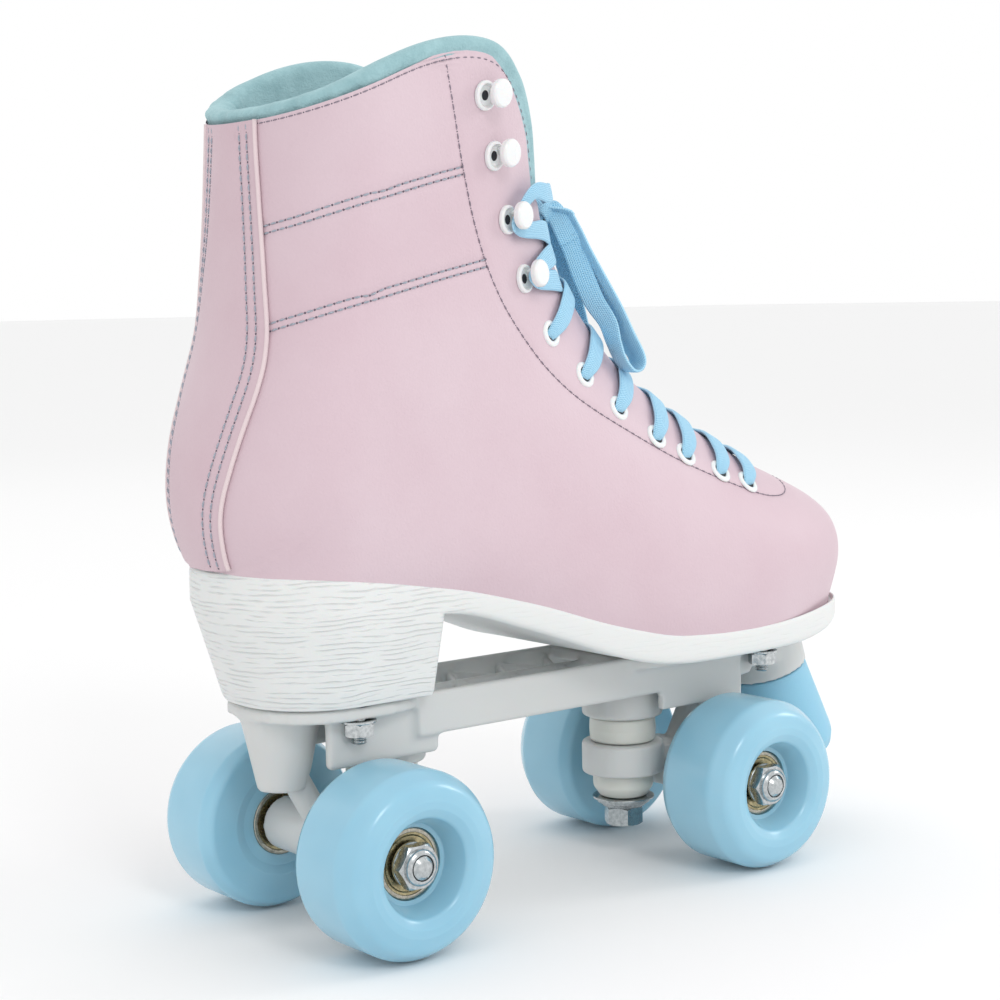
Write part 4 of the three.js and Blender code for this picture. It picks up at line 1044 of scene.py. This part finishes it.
def moulding(piece, voxel, smoothing):
    # melts joined solids into one moulding, with soft fillets where they meet
    applyModifier(piece, "REMESH", {"mode": "VOXEL", "voxel_size": voxel, "use_smooth_shade": True})
    applyModifier(piece, "SMOOTH", {"factor": 0.5, "iterations": smoothing})
    return piece


def nodeCopy(node):
    source = bpy.data.objects[node]
    mesh = source.data.copy()
    mesh.transform(source.matrix_world)
    mesh.transform(Matrix.Scale(1 / mm, 4))
    piece = bpy.data.objects.new(node + "Copy", mesh)
    bpy.context.scene.collection.objects.link(piece)
    return piece


# wheels and trucks
wheelLook = {"radius": 29, "half": 15.8, "lip": 16.9, "lipDrop": 0.5, "seat": 11.1, "dish": 6.2,
             "innerLip": 14.6}
bearingLook = {"outer": 11, "bore": 4.1, "width": 7, "outerRace": 9.5, "innerRace": 6.1, "sink": 0.7}
nutLook = {"flats": 13, "height": 6.4, "washer": 6.9}


def wheelPlace(end, side):
    # local Z points out of the skate; side is -1 on the wearer's right
    low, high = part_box(f"wheel_{end}_{'left' if side > 0 else 'right'}")
    turn = Matrix.Rotation(-side * math.pi / 2, 4, "X")
    return Matrix.Translation((low + high) / 2) @ turn


def wheelOutline():
    look = wheelLook
    return rounded([
        (look["seat"], look["dish"] + 0.2, 0), (look["seat"] + 1.4, look["dish"] + 0.3, 0.5),
        (look["lip"] - 1.6, look["half"] - 1.6, 2.2), (look["lip"] + 1.2, look["half"] - look["lipDrop"]
                                                       + 0.3, 1.6),
        (look["lip"] + 3.6, look["half"], 2.0), (look["radius"] - 3.6, look["half"] - 0.9, 4.6),
        (look["radius"], look["half"] - 7, 5), (look["radius"], 4.6 - look["half"], 3.6),
        (look["radius"] - 2.2, 0.6 - look["half"], 3), (look["innerLip"] + 3, -look["half"], 2),
        (look["innerLip"], 0.8 - look["half"], 0.8), (look["seat"] + 1.4, 0.6 - look["half"], 0.4),
        (look["seat"], 0.6 - look["half"], 0), (look["seat"], 0.3 - look["half"] + 7, 0),
        (look["seat"] - 1.6, 0.3 - look["half"] + 7, 0), (look["seat"] - 1.6, look["dish"] - 7.3, 0),
        (look["seat"], look["dish"] - 7.3, 0)])


def bearingPieces(low):
    look = bearingLook
    high, outer, bore = low + look["width"], look["outer"], look["bore"]
    races = turned(rounded([
        (outer, low, 0.5), (outer, high, 0.5), (look["outerRace"], high, 0.25), (look["outerRace"],
                                                                                 high - look["sink"], 0),
        (look["outerRace"], low + look["sink"], 0), (look["outerRace"], low, 0.25)], pieces=3), 64)
    inner = turned(rounded([
        (look["innerRace"], low, 0.25), (look["innerRace"], high, 0.25), (bore, high, 0.4),
        (bore, low, 0.4)], pieces=3), 56)
    joined(races, inner)
    sink = look["sink"]
    shield = turned(rounded([
        (look["innerRace"] + 0.25, low + sink, 0), (look["outerRace"] + 0.3, low + sink * 0.4, 0.2),
        (look["outerRace"] + 0.3, high - sink * 0.4, 0.2), (look["outerRace"] - 0.7, high - sink * 0.55,
                                                            0.3),
        (look["outerRace"] - 1.1, high - sink, 0.3), (look["innerRace"] + 0.25, high - sink, 0)],
                            pieces=3), 64)
    return races, shield


def makeWheels():
    for end in ("front", "rear"):
        for side in (1, -1):
            word = "left" if side > 0 else "right"
            body = f"wheel_{end}_{word}"
            place = wheelPlace(end, side)
            wheel = finishPiece(turned(wheelOutline(), 120), f"{end}{word.title()}Wheel", wheelUrethane,
                                body, place, 50)
            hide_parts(body)
            for where, low in (("outer", wheelLook["dish"] - 7.2), ("inner", 0.2 - wheelLook["half"])):
                races, shield = bearingPieces(low)
                label = f"{end}{word.title()}{where.title()}"
                finishPiece(races, label + "Races", raceSteel, body, place)
                finishPiece(shield, label + "Shield", shieldSteel, body, place)
                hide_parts(f"bearing_{end}_{word}_{where}")


def threadedEnd(radius, length, pitch=1.25):
    # half outline of a threaded end, grooves first and the rounded tip last
    steps = []
    count = int(length / pitch)
    for k in range(count):
        steps += [(radius - 0.45, k * pitch), (radius, (k + 0.5) * pitch)]
    steps += [(radius - 0.2, length), (radius - 1.2, length + 0.9), (radius - 2.4, length + 1.1),
              (0, length + 1.1)]
    return steps


def makeAxles():
    for end in ("front", "rear"):
        axleLow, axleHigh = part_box(end + "_axle")
        middle = (axleLow + axleHigh) / 2
        half = (axleHigh.y - axleLow.y) / 2 / mm
        thread = threadedEnd(3.8, 9)
        start = half - 10.1
        upper = [(r, start + h) for r, h in thread]
        lower = [(r, -h) for r, h in reversed(upper)]
        axle = turned([(r, h) for r, h in lower] + upper, 40, False)
        place = Matrix.Translation(middle) @ Matrix.Rotation(math.pi / 2, 4, "X")
        finishPiece(axle, end + "AxleRod", zincPlate, f"{end}_truck", place, 30)
        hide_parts(end + "_axle")
        for side in (1, -1):
            word = "left" if side > 0 else "right"
            base = wheelLook["dish"] + 0.2
            collar = turned(rounded([(3.95, base + 3, 0), (5.6, base + 3, 0), (5.6, base + 5.8, 0.9),
                                     (4.7, base + 6.5, 0.4), (3.95, base + 6.5, 0.2)], pieces=4), 48)
            washer = turned(rounded([(4.05, base - 0.1, 0), (nutLook["washer"], base - 0.1, 0.2),
                                     (nutLook["washer"], base + 0.9, 0.3), (4.05, base + 0.9, 0)],
                                    pieces=3), 56)
            nut = joined(hexNut(nutLook["flats"], base + 0.9, base + 4.9, 3.95), collar, washer)
            finishPiece(nut, f"{end}{word.title()}AxleNut", zincPlate, f"{end}_truck",
                        wheelPlace(end, side), 30)
            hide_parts(f"axle_nut_{end}_{word}")


def makeKingpins():
    for end in ("front", "rear"):
        pinLow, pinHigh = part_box(end + "_kingpin")
        x = (pinLow.x + pinHigh.x) / 2

        def at(node):
            low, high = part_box(end + "_" + node)
            return low.z / mm, high.z / mm, (high.y - low.y) / 2 / mm

        stand = Matrix.Translation((x, 0, 0))
        low, high, radius = at("kingpin")
        outline = [(0, high), (radius, high), (radius, low + 7)] + [
            (radius - (0.5 if k % 2 else 0), low + 7 - k * 0.7) for k in range(1, 9)] + [
            (radius - 0.6, low + 0.7), (radius - 1.6, low), (0, low)]
        pin = finishPiece(turned(outline, 40, False), end + "KingpinRod", zincPlate, "root",
                          stand, 30)
        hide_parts(end + "_kingpin")
        low, high, radius = at("cushion_upper")
        upper = turned(rounded([(5.3, low, 0), (radius - 0.2, low, 1.1),
                                (radius + 0.05, (low + high) / 2, 3), (radius - 0.2, high, 1.1),
                                (5.3, high, 0)]), 72)
        finishPiece(upper, end + "UpperCushion", cushionUrethane, "root", stand, 50)
        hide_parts(end + "_cushion_upper")
        low, high, radius = at("cushion_lower")
        lower = turned(rounded([(5.3, low, 0), (radius - 2.4, low, 1.2), (radius - 0.1, low + 3.4, 3.5),
                                (radius, high, 1), (5.3, high, 0)]), 72)
        finishPiece(lower, end + "LowerCushion", cushionUrethane, "root", stand, 50)
        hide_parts(end + "_cushion_lower")
        low, high, radius = at("cushion_cup")
        cup = turned(rounded([(5.3, low, 0), (radius - 3.4, low, 0.7), (radius - 2.2, low + 1.3, 0.4),
                              (radius - 1.5, low + 1.5, 0.3), (radius - 1.1, low + 2.5, 0.3),
                              (radius - 0.1, low + 2.7, 0.3), (radius + 0.3, high, 0.4), (5.3, high, 0)],
                             pieces=3), 72)
        finishPiece(cup, end + "CushionCup", zincPlate, "root", stand, 40)
        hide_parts(end + "_cushion_cup")
        low, high, radius = at("kingpin_nut")
        nut = finishPiece(hexNut(12.2, low, high, 5.3), end + "KingpinNut", zincPlate, "root",
                          stand, 30)
        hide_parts(end + "_kingpin_nut")


# side walls are [start x, start y, end x, end y, low, high] from the deck; each moulding has its voxel
# size and its smoothing turns
castingLook = {
    "walls": ((60, 18, 90, 18, -15, -2), (86, 18.5, 100, 14.5, -14, -2), (98, 14.5, 122, 13.5, -12, -2),
              (-84, 17.5, -44, 17.5, -20, -3)),
    "wallThick": 3.6, "hanger": (0.8, 5), "plate": (0.95, 4), "footbed": (1.6, 6)}


def makeCastings():
    for end in ("front", "rear"):
        hanger = moulding(nodeCopy(end + "_hanger"), *castingLook["hanger"])
        finishPiece(hanger, end + "TruckHanger", plateNylon, f"{end}_truck", None, 70)
        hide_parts(end + "_hanger")
    walls = []
    for side in (1, -1):
        for x0, y0, x1, y1, low, high in castingLook["walls"]:
            size = (math.hypot(x1 - x0, y1 - y0) + 2, castingLook["wallThick"], high - low)
            place = ((x0 + x1) / 2 + shift, side * (y0 + y1) / 2, deckHeight + (low + high) / 2)
            turn = math.atan2(side * (y1 - y0), x1 - x0)
            walls.append(primitive("cube", size=1, scale=size, location=place, rotation=(0, 0, turn),
                                   bevel=1.2, segments=2))
    plate = joined(nodeCopy("plate"), *walls)
    moulding(plate, *castingLook["plate"])
    finishPiece(plate, "mouldedPlate", plateNylon, "root", None, 70)
    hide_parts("plate")
    seat = moulding(nodeCopy("insole"), *castingLook["footbed"])
    finishPiece(seat, "softFootbed", insideKnitPaintedShade, "root", None, 70)
    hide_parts("insole")


stopLook = {"tilt": 18, "ahead": 49, "drop": 16.5}  # degrees, from the front axle, below the deck


def makeToeStop():
    tilt = math.radians(stopLook["tilt"])
    x, z = drawnAxleX + stopLook["ahead"] + shift, deckHeight - stopLook["drop"]
    place = Matrix.Translation((x * mm, 0, z * mm)) @ Matrix.Rotation(-tilt, 4, "Y")
    stop = turned(rounded([(4.3, -0.3, 0), (15.4, -0.3, 1.2), (17.4, -15.5, 12), (19, -28, 3),
                           (19, -30.4, 1.4), (17.6, -35, 2.4), (8.4, -35, 1), (8, -26, 0.4), (4.3, -26, 0)],
                          pieces=6), 96)
    finishPiece(stop, "toeStopRubber", stopRubber, "root", place, 50)
    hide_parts("toe_stop")
    bolt = turned([(0, 11), (3.4, 11), (4, 10.4), (4, -26.3), (0, -26.3)], 40, False)
    head = primitive("cylinder", vertices=6, radius=6.9, depth=6.2, location=(0, 0, -29.4), bevel=0.4,
                     segments=2)
    bolt = joined(bolt, head)
    finishPiece(bolt, "toeStopBolt", zincPlate, "root", place, 30)
    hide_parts("toe_stop_bolt")


screwLook = {"nutDrop": 4.5, "washer": 5.6, "bore": 2.3, "shank": 2.4, "groove": 0.35, "threads": 8}


def makeScrews():
    for end in ("front", "rear"):
        for word in ("left", "right"):
            low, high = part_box(f"mounting_screw_{end}_{word}")
            middle = (low + high) / 2
            nutTop = deckHeight - screwLook["nutDrop"]
            bore, radius, core = screwLook["bore"], screwLook["washer"], screwLook["shank"]
            washer = turned(rounded([(bore, nutTop - 0.9, 0), (radius, nutTop - 0.9, 0.3),
                                     (radius, nutTop, 0.2), (bore, nutTop, 0)], pieces=2), 48)
            nut = hexNut(8.6, nutTop - 5, nutTop - 1, bore)
            thread = [(core - (screwLook["groove"] if k % 2 == 0 else 0), nutTop - 4.4 - k * 0.4)
                      for k in range(screwLook["threads"])]
            shank = turned([(0, deckHeight + 5), (core, deckHeight + 5), (core, nutTop - 4), *thread,
                            (1.6, nutTop - 7.7), (0, nutTop - 7.7)], 32, False)
            piece = joined(washer, nut, shank)
            finishPiece(piece, f"{end}{word.title()}MountingScrew", zincPlate, "root",
                        Matrix.Translation((middle.x, middle.y, 0)), 30)
            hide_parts(f"mounting_screw_{end}_{word}")


makeWheels()
makeAxles()
makeKingpins()
print("wheels, axles and kingpins made")
makeCastings()
makeToeStop()
makeScrews()
print("plate, hangers, toe stop and screws made")


# sole and heel
soleTopLine = np.array([
    [-115.4, 42.2], [-90, 39.6], [-69, 36.8], [-40, 31.6], [-14, 24.6], [12, 15.7], [36, 9.6], [58, 8],
    [80, 7.8], [99, 8.6], [116, 9.7], [132, 10.3], [150, 10.6]])
soleBottomLine = np.array([
    [-115.4, 32.6], [-49, 26.3], [-37, 24.2], [-11, 15.2], [16, 4.9], [30, 1.4], [44, 0], [104, 0],
    [125, 2], [150, 6.4]])


def curveAt(line, x):
    # a smoothed height along the sole
    total = 0
    for step, weight in ((-7, 1), (-3.5, 2), (0, 3), (3.5, 2), (7, 1)):
        total = total + weight * np.interp(x + step, line[:, 0], line[:, 1])
    return total / 9


def soleOutline(count=110):
    # right half of the outline from the heel to the toe, with the direction outwards
    angle = np.linspace(math.pi, 0, count)
    x = 16.5 + 130.5 * np.cos(angle)
    x[0], x[-1] = -114, 147
    half = footHalf(np.clip(x, -113.999, 146.999))
    half[0] = half[-1] = 0
    path = np.stack([x, -half], -1)
    ahead = np.gradient(path, axis=0)
    ahead[0], ahead[-1] = (0, -1), (0, 1)
    ahead /= np.linalg.norm(ahead, axis=1, keepdims=True)
    return path, np.stack([ahead[:, 1], -ahead[:, 0]], -1)


def ringSolid(name, rings, material):
    # rings are right halves from heel to toe, from the inner top down the side to the inner bottom
    rings = np.asarray(rings)
    count, layers = rings.shape[1], rings.shape[0]
    loop = np.concatenate([rings, rings[:, -2:0:-1] * [1, -1, 1]], 1)
    around = loop.shape[1]
    points = loop.reshape(-1, 3)
    faces = [list(f) for f in gridFaces(layers, around, aroundColumns=True)]
    extra, across = [], 8
    start = len(points)
    for layer, flip in ((0, False), (layers - 1, True)):
        rows = []
        for k in range(1, count - 1):
            right, left = layer * around + k, layer * around + (around - k)
            row = [right]
            for n in range(1, across):
                extra.append(points[right] + (points[left] - points[right]) * n / across)
                row.append(start + len(extra) - 1)
            rows.append(row + [left])
        for a, b in zip(rows[:-1], rows[1:]):
            for n in range(across):
                face = [a[n], b[n], b[n + 1], a[n + 1]]
                faces.append(face[::-1] if flip else face)
        for end, row in ((layer * around, rows[0]), (layer * around + count - 1, rows[-1])):
            for n in range(across):
                face = [end, row[n], row[n + 1]]
                faces.append(face)
    piece = makeMesh(name, np.vstack([points, np.array(extra)]), faces, material)
    return tidyMesh(piece, 1e-6, True)


def ease(value, start, end):
    t = np.clip((value - start) / (end - start), 0, 1)
    return t * t * (3 - 2 * t)


def makeSole():
    path, out = soleOutline()
    along = path[:, 0]
    top, bottom = curveAt(soleTopLine, along), curveAt(soleBottomLine, along)
    free = ease(along, -52, -44)  # the lower edge is rounded only where no heel carries on below
    proud = 1 - 0.55 * ease(along, 80, 147)
    rings = []
    for offset, share, lift, edgeOffset, edgeLift in (
            (-5, 1, -1.5, 0, 0), (-0.9, 1, -0.6, 0, 0), (-0.35, 1, 0.85, 0, 0), (0.1, 1, 0.9, 0, 0),
            (0.5, 1, 0.5, 0, 0), (0.7, 1, -0.6, 0, 0), (0.75, 0.66, 0, 0, 0), (0.75, 0.33, 0, 0, 0),
            (0.75, 0, 0.6, -0.15, 0.8), (0.75, 0, 0.2, -0.65, 0.3), (0.7, 0, 0, -1.6, 0.05),
            (-6, 0, 0, 0, 0)):
        offset = offset * (proud if offset > 0 else 1) + edgeOffset * free
        place = path + out * np.reshape(offset * np.ones(len(path)), (-1, 1))
        height = bottom + (top - bottom) * share + lift + edgeLift * free
        rings.append(np.stack([place[:, 0], np.minimum(place[:, 1], 0), height], -1))
        rings[-1][[0, -1], 1] = 0
    return ringSolid("mouldedSole", rings, heelRubber)


heelLook = {"footBack": -104.6, "footFront": -50.4, "footHalf": 28.2, "seatFront": -48.6, "corner": 3.5}


def makeHeel():
    # the sole's own outline at the top, tapered to the foot; flat breast at the front
    look = heelLook
    path, out = soleOutline(150)
    rim = path + out * 0.74
    side = rim[rim[:, 0] < look["seatFront"] - look["corner"]]
    half = -side[-1, 1]
    turn = np.linspace(0, math.pi / 2, 7)[1:]
    bend = np.stack([look["seatFront"] - look["corner"] * (1 - np.sin(turn)),
                     look["corner"] * (1 - np.cos(turn)) - half], -1)
    breast = np.stack([np.full(9, look["seatFront"]), np.linspace(look["corner"] - half, 0, 10)[1:]], -1)
    seat = np.vstack([side, bend, breast])
    back = seat[0, 0]
    taper = (look["footFront"] - look["footBack"]) / (look["seatFront"] - back)
    foot = np.stack([look["footBack"] + (seat[:, 0] - back) * taper,
                     seat[:, 1] * look["footHalf"] / half], -1)
    seatTop = curveAt(soleBottomLine, seat[:, 0])
    rings = []
    for t, inset, lift in ((1, 3, 3.5), (1, 0.02, 0.6), (1, 0, 0), (0.75, 0, 0), (0.5, 0, 0),
                           (0.25, 0, 0), (0.05, 0, 0), (0.012, 0.3, 0), (0, 1.2, 0), (0, 8, 0)):
        flat = foot + (seat - foot) * t
        flat = flat + (np.array([-76, 0]) - flat) * (inset / 30)
        rings.append(np.stack([flat[:, 0], np.minimum(flat[:, 1], 0), 0.3 + (seatTop - 0.3) * t + lift], -1))
        rings[-1][[0, -1], 1] = 0
    return ringSolid("stackedHeel", rings, heelRubber)


def makeSoleUnit():
    # sole and heel are one moulding
    sole = boolean(makeSole(), makeHeel())
    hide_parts("outsole", "heel_block")
    selectOnly(sole)
    bpy.ops.object.shade_smooth_by_angle(angle=math.radians(38))
    bpy.ops.object.select_all(action="DESELECT")


makeSoleUnit()
print("sole and heel made")


# eyelets, hooks and lacing
hookPlaces = [(13.5, 0.276), (16.64, 0.306), (19.17, 0.374), (21, 0.423)]
eyeletRibs = [5.96, 6.68, 7.51, 8.2, 9.12, 10.07, 11.28]
eyeletShare = 0.27


def surfaceFrame(rib, share, lift=0.0):
    # a place on the leather: local Z out of it, local X towards the front edge
    point, normal = bootPoint(rib, share, lift, True)
    lean = bootPoint(rib, share * 0.9) - bootPoint(rib, share)
    lean = Vector(lean - normal * np.dot(lean, normal)).normalized()
    out = Vector(normal).normalized()
    frame = Matrix((lean, out.cross(lean), out)).transposed().to_4x4()
    frame.translation = Vector(toMetres(point[None])[0])
    return frame


def makeEyelets():
    ringOutline = rounded([(2.5, -0.4, 0), (4.5, -0.2, 0.2), (4.3, 0.45, 0.5), (3.4, 0.85, 0.8),
                           (2.5, 0.5, 0.5)], pieces=4)
    whole, shadows = [], []
    for rib in eyeletRibs:
        for side in (1, -1):
            place = surfaceFrame(rib, side * eyeletShare)
            eyelet = turned(ringOutline, 40)
            finishPiece(eyelet, "eyelet", whiteEnamel, "root", place, 60)
            whole.append(eyelet)
            shadow = turned(rounded([(0, 0.08, 0), (2.6, 0.08, 0), (2.6, -0.5, 0), (0, -0.5, 0)], False),
                            24, False)
            finishPiece(shadow, "eyeletShadow", darkMaterial, "root", place, 60)
            shadows.append(shadow)
    joined(whole[0], *whole[1:]).name = "eyelets"
    joined(shadows[0], *shadows[1:]).name = "eyeletHoles"


def makeHooks():
    shadows = []
    for side, word in ((1, "right"), (-1, "left")):
        for k, (rib, share) in enumerate(hookPlaces):
            place = surfaceFrame(rib, side * share)
            base = turned(rounded([(1.6, 0.1, 0), (1.7, 0.35, 0.15), (3.2, 0.6, 0.5), (4.1, 1.6, 0.5),
                                   (4.95, 1.0, 0.4),
                                   (5, 0.1, 0)], pieces=4), 56)
            post = primitive("cube", size=1, scale=(1.8, 3.2, 5.2), location=(2.9, 0, 3.0), bevel=0.7,
                             segments=4)
            cap = turned(rounded([(0, 6.6, 0), (4.1, 6.5, 0.9), (4.75, 5.8, 0.6), (4.75, 4.2, 0.5),
                                  (3.9, 3.9, 0.4), (0, 3.9, 0)],
                                 False, 5), 56, False)
            cap.data.transform(Matrix.Translation((2.3, 0, 0)))
            hook = joined(base, post, cap)
            hook.data.transform(Matrix.Diagonal((0.92, 0.92, 1, 1)))
            finishPiece(hook, f"{word}Hook{k + 1}", whiteEnamel, "root", place, 45)
            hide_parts(f"speed_hook_{word}_{k + 1}")
            shadow = turned([(0, 0.3), (1.7, 0.3), (1.7, -0.1), (0, -0.1)], 24, False)
            finishPiece(shadow, "hookShadow", darkMaterial, "root", place, 60)
            shadows.append(shadow)
    joined(shadows[0], *shadows[1:]).name = "hookRivetHoles"


def laceRun(stops, samples=46):
    # stops are [rib, share, out, width]; the strand lies flat to the leather
    stops = np.array(stops, float)
    way = smoothTable(stops, np.linspace(0, len(stops) - 1, samples))
    side = np.where(way[:, 1] < 0, -1, 1)
    share = np.where(np.abs(way[:, 1]) < 0.004, 0.004 * side, way[:, 1])
    points, normals = bootPoint(way[:, 0], share, way[:, 2], True)
    for k in range(2):
        normals[1:-1] = (normals[:-2] + 2 * normals[1:-1] + normals[2:]) / 4
        points[1:-1] = (points[:-2] + 2 * points[1:-1] + points[2:]) / 4
    normals /= np.linalg.norm(normals, axis=1, keepdims=True)
    return ribbonPart(points, normals, way[:, 3])


def makeLaces():
    parts = []
    width = laceLook["width"]
    for side in (1, -1):
        over = 0.9 if side > 0 else 0
        for rib in eyeletRibs:
            parts.append(laceRun([[rib + more, side * share, out, wide] for more, share, out, wide in (
                (-0.02, eyeletShare + 0.008, -0.9, 3.4), (0, eyeletShare - 0.002, 0.7, 4.4),
                (-0.05, 0.238, 2.0, 6.2),
                (-0.12, 0.19, 1.8, width), (-0.2, 0.135, 1.6, width), (-0.28, 0.09, 0.6, width),
                (-0.3, 0.045, over - 0.9, width), (-0.2, 0, over - 1, width), (0.1, -0.06, -2.4, width),
                (0.4, -0.13, -4.4, width))]))
        # round the two lower hooks, and from the upper one to the knot
        parts.append(laceRun([[rib, side * share, out, wide] for rib, share, out, wide in (
            (11.3, 0.08, -3.4, width), (11.5, 0.14, -0.2, width), (11.95, 0.19, 1.7, width),
            (12.8, 0.25, 2.2, 5.6),
            (13.35, 0.27, 2.6, 3.6), (13.5, 0.27, 2.8, 3.4), (13.3, 0.245, 2.4, 5.6),
            (12.8, 0.19, 1.9, width),
            (12.35, 0.13, 1.2, width), (12.1, 0.06, over - 1, width), (12, 0, over - 1.2, width),
            (12.2, -0.1, -3.8, width))], 70))
        parts.append(laceRun([[rib, side * share, out, wide] for rib, share, out, wide in (
            (12.3, 0.04, -3.4, width), (12.6, 0.09, 0, width), (13.4, 0.15, 1.7, width),
            (15, 0.23, 2.2, 5.6),
            (16.2, 0.294, 2.6, 3.6), (16.6, 0.298, 3, 3.4), (16.9, 0.26, 4.8, 4.6), (16.3, 0.205, 5.4, 6),
            (15.3, 0.13, 4.6, 6), (14.5, 0.05, 3.4, 6))], 70))
    knot = []
    for turn, tilt, radius in ((0, 0.2, 1.0), (1.2, -0.3, 0.9), (2.2, 0.5, 0.95)):
        angle = np.linspace(0, math.tau, 40)
        ring = np.stack([np.cos(angle) * 3.6 * radius, np.sin(angle) * 5.8 * radius,
                         np.sin(angle * 2 + turn) * 1.4], -1)
        spun = np.array(Matrix.Rotation(turn, 3, "X") @ Matrix.Rotation(tilt, 3, "Y"))
        ring = ring @ spun.T
        facing = ring / np.linalg.norm(ring, axis=1, keepdims=True)
        knot.append(ribbonPart(ring + [16.8, 0, 151], facing, 5.2))
    for side in (1, -1):
        for start, follow, across in (((23, -8, 150), (24.5, -10.5, 144.5), (0.12, 1, 0)),
                                      ((23, -3.7, 147), (26.5, -4, 142.5), (0.12, 1, 0)),
                                      ((21.6, -10, 142.5), (23.2, -11, 138.5), (-0.76, 0.62, 0))):
            ends = np.array([(15.5, 0, 151.5), (19, start[1] * 0.5, 152), start, follow]) * [1, side, 1]
            path = smoothTable(ends, np.linspace(0, 2.3, 30))
            ahead = np.gradient(path, axis=0)
            knot.append(ribbonPart(path, np.cross(np.array(across) * [1, side, 1], ahead),
                                   np.linspace(6, bowLook["width"] + 0.02, 30), bowLook["thick"] + 0.04))
    points, faces, uv = joinParts(parts + knot)
    piece = makeMesh("lacing", points, faces, laceWeave, uv=uv)
    tidyMesh(piece, 1e-7, True)
    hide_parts("lace")


makeEyelets()
makeHooks()
makeLaces()
print("eyelets, hooks and lacing made")

# floor and light
# lamps are [name, place, size in metres, power in watts]
stageLook = {
    "floor": 60, "room": 1.0,
    "lamps": [("keyLamp", (-0.4, -1.3, 1.1), 0.4, 4.5), ("sideLamp", (1.2, -0.6, 0.7), 0.4, 3.0),
              ("backLamp", (0.3, 1.3, 1.2), 1.2, 1.0)]}


def addStage():
    bpy.ops.mesh.primitive_plane_add(size=stageLook["floor"], location=(0, 0, -0.0006))
    floor = bpy.context.object
    floor.name = "paleFloor"
    paper = newMaterial("palePaperFloor", {"Base Color": hexColour("#f4f4f4"), "Roughness": 0.9})[0]
    floor.data.materials.append(paper)
    world = bpy.data.worlds.new("softRoom")
    world.use_nodes = True
    world.node_tree.nodes["Background"].inputs["Color"].default_value = (1, 1, 1, 1)
    world.node_tree.nodes["Background"].inputs["Strength"].default_value = stageLook["room"]
    bpy.context.scene.world = world
    for name, place, size, power in stageLook["lamps"]:
        lamp = bpy.data.lights.new(name, "AREA")
        lamp.size = size
        lamp.energy = power
        thing = bpy.data.objects.new(name, lamp)
        bpy.context.scene.collection.objects.link(thing)
        thing.location = place
        thing.rotation_euler = (Vector((0, 0, 0.12)) - Vector(place)).to_track_quat("-Z", "Y").to_euler()
    bpy.context.scene.view_settings.view_transform = "Standard"


addStage()
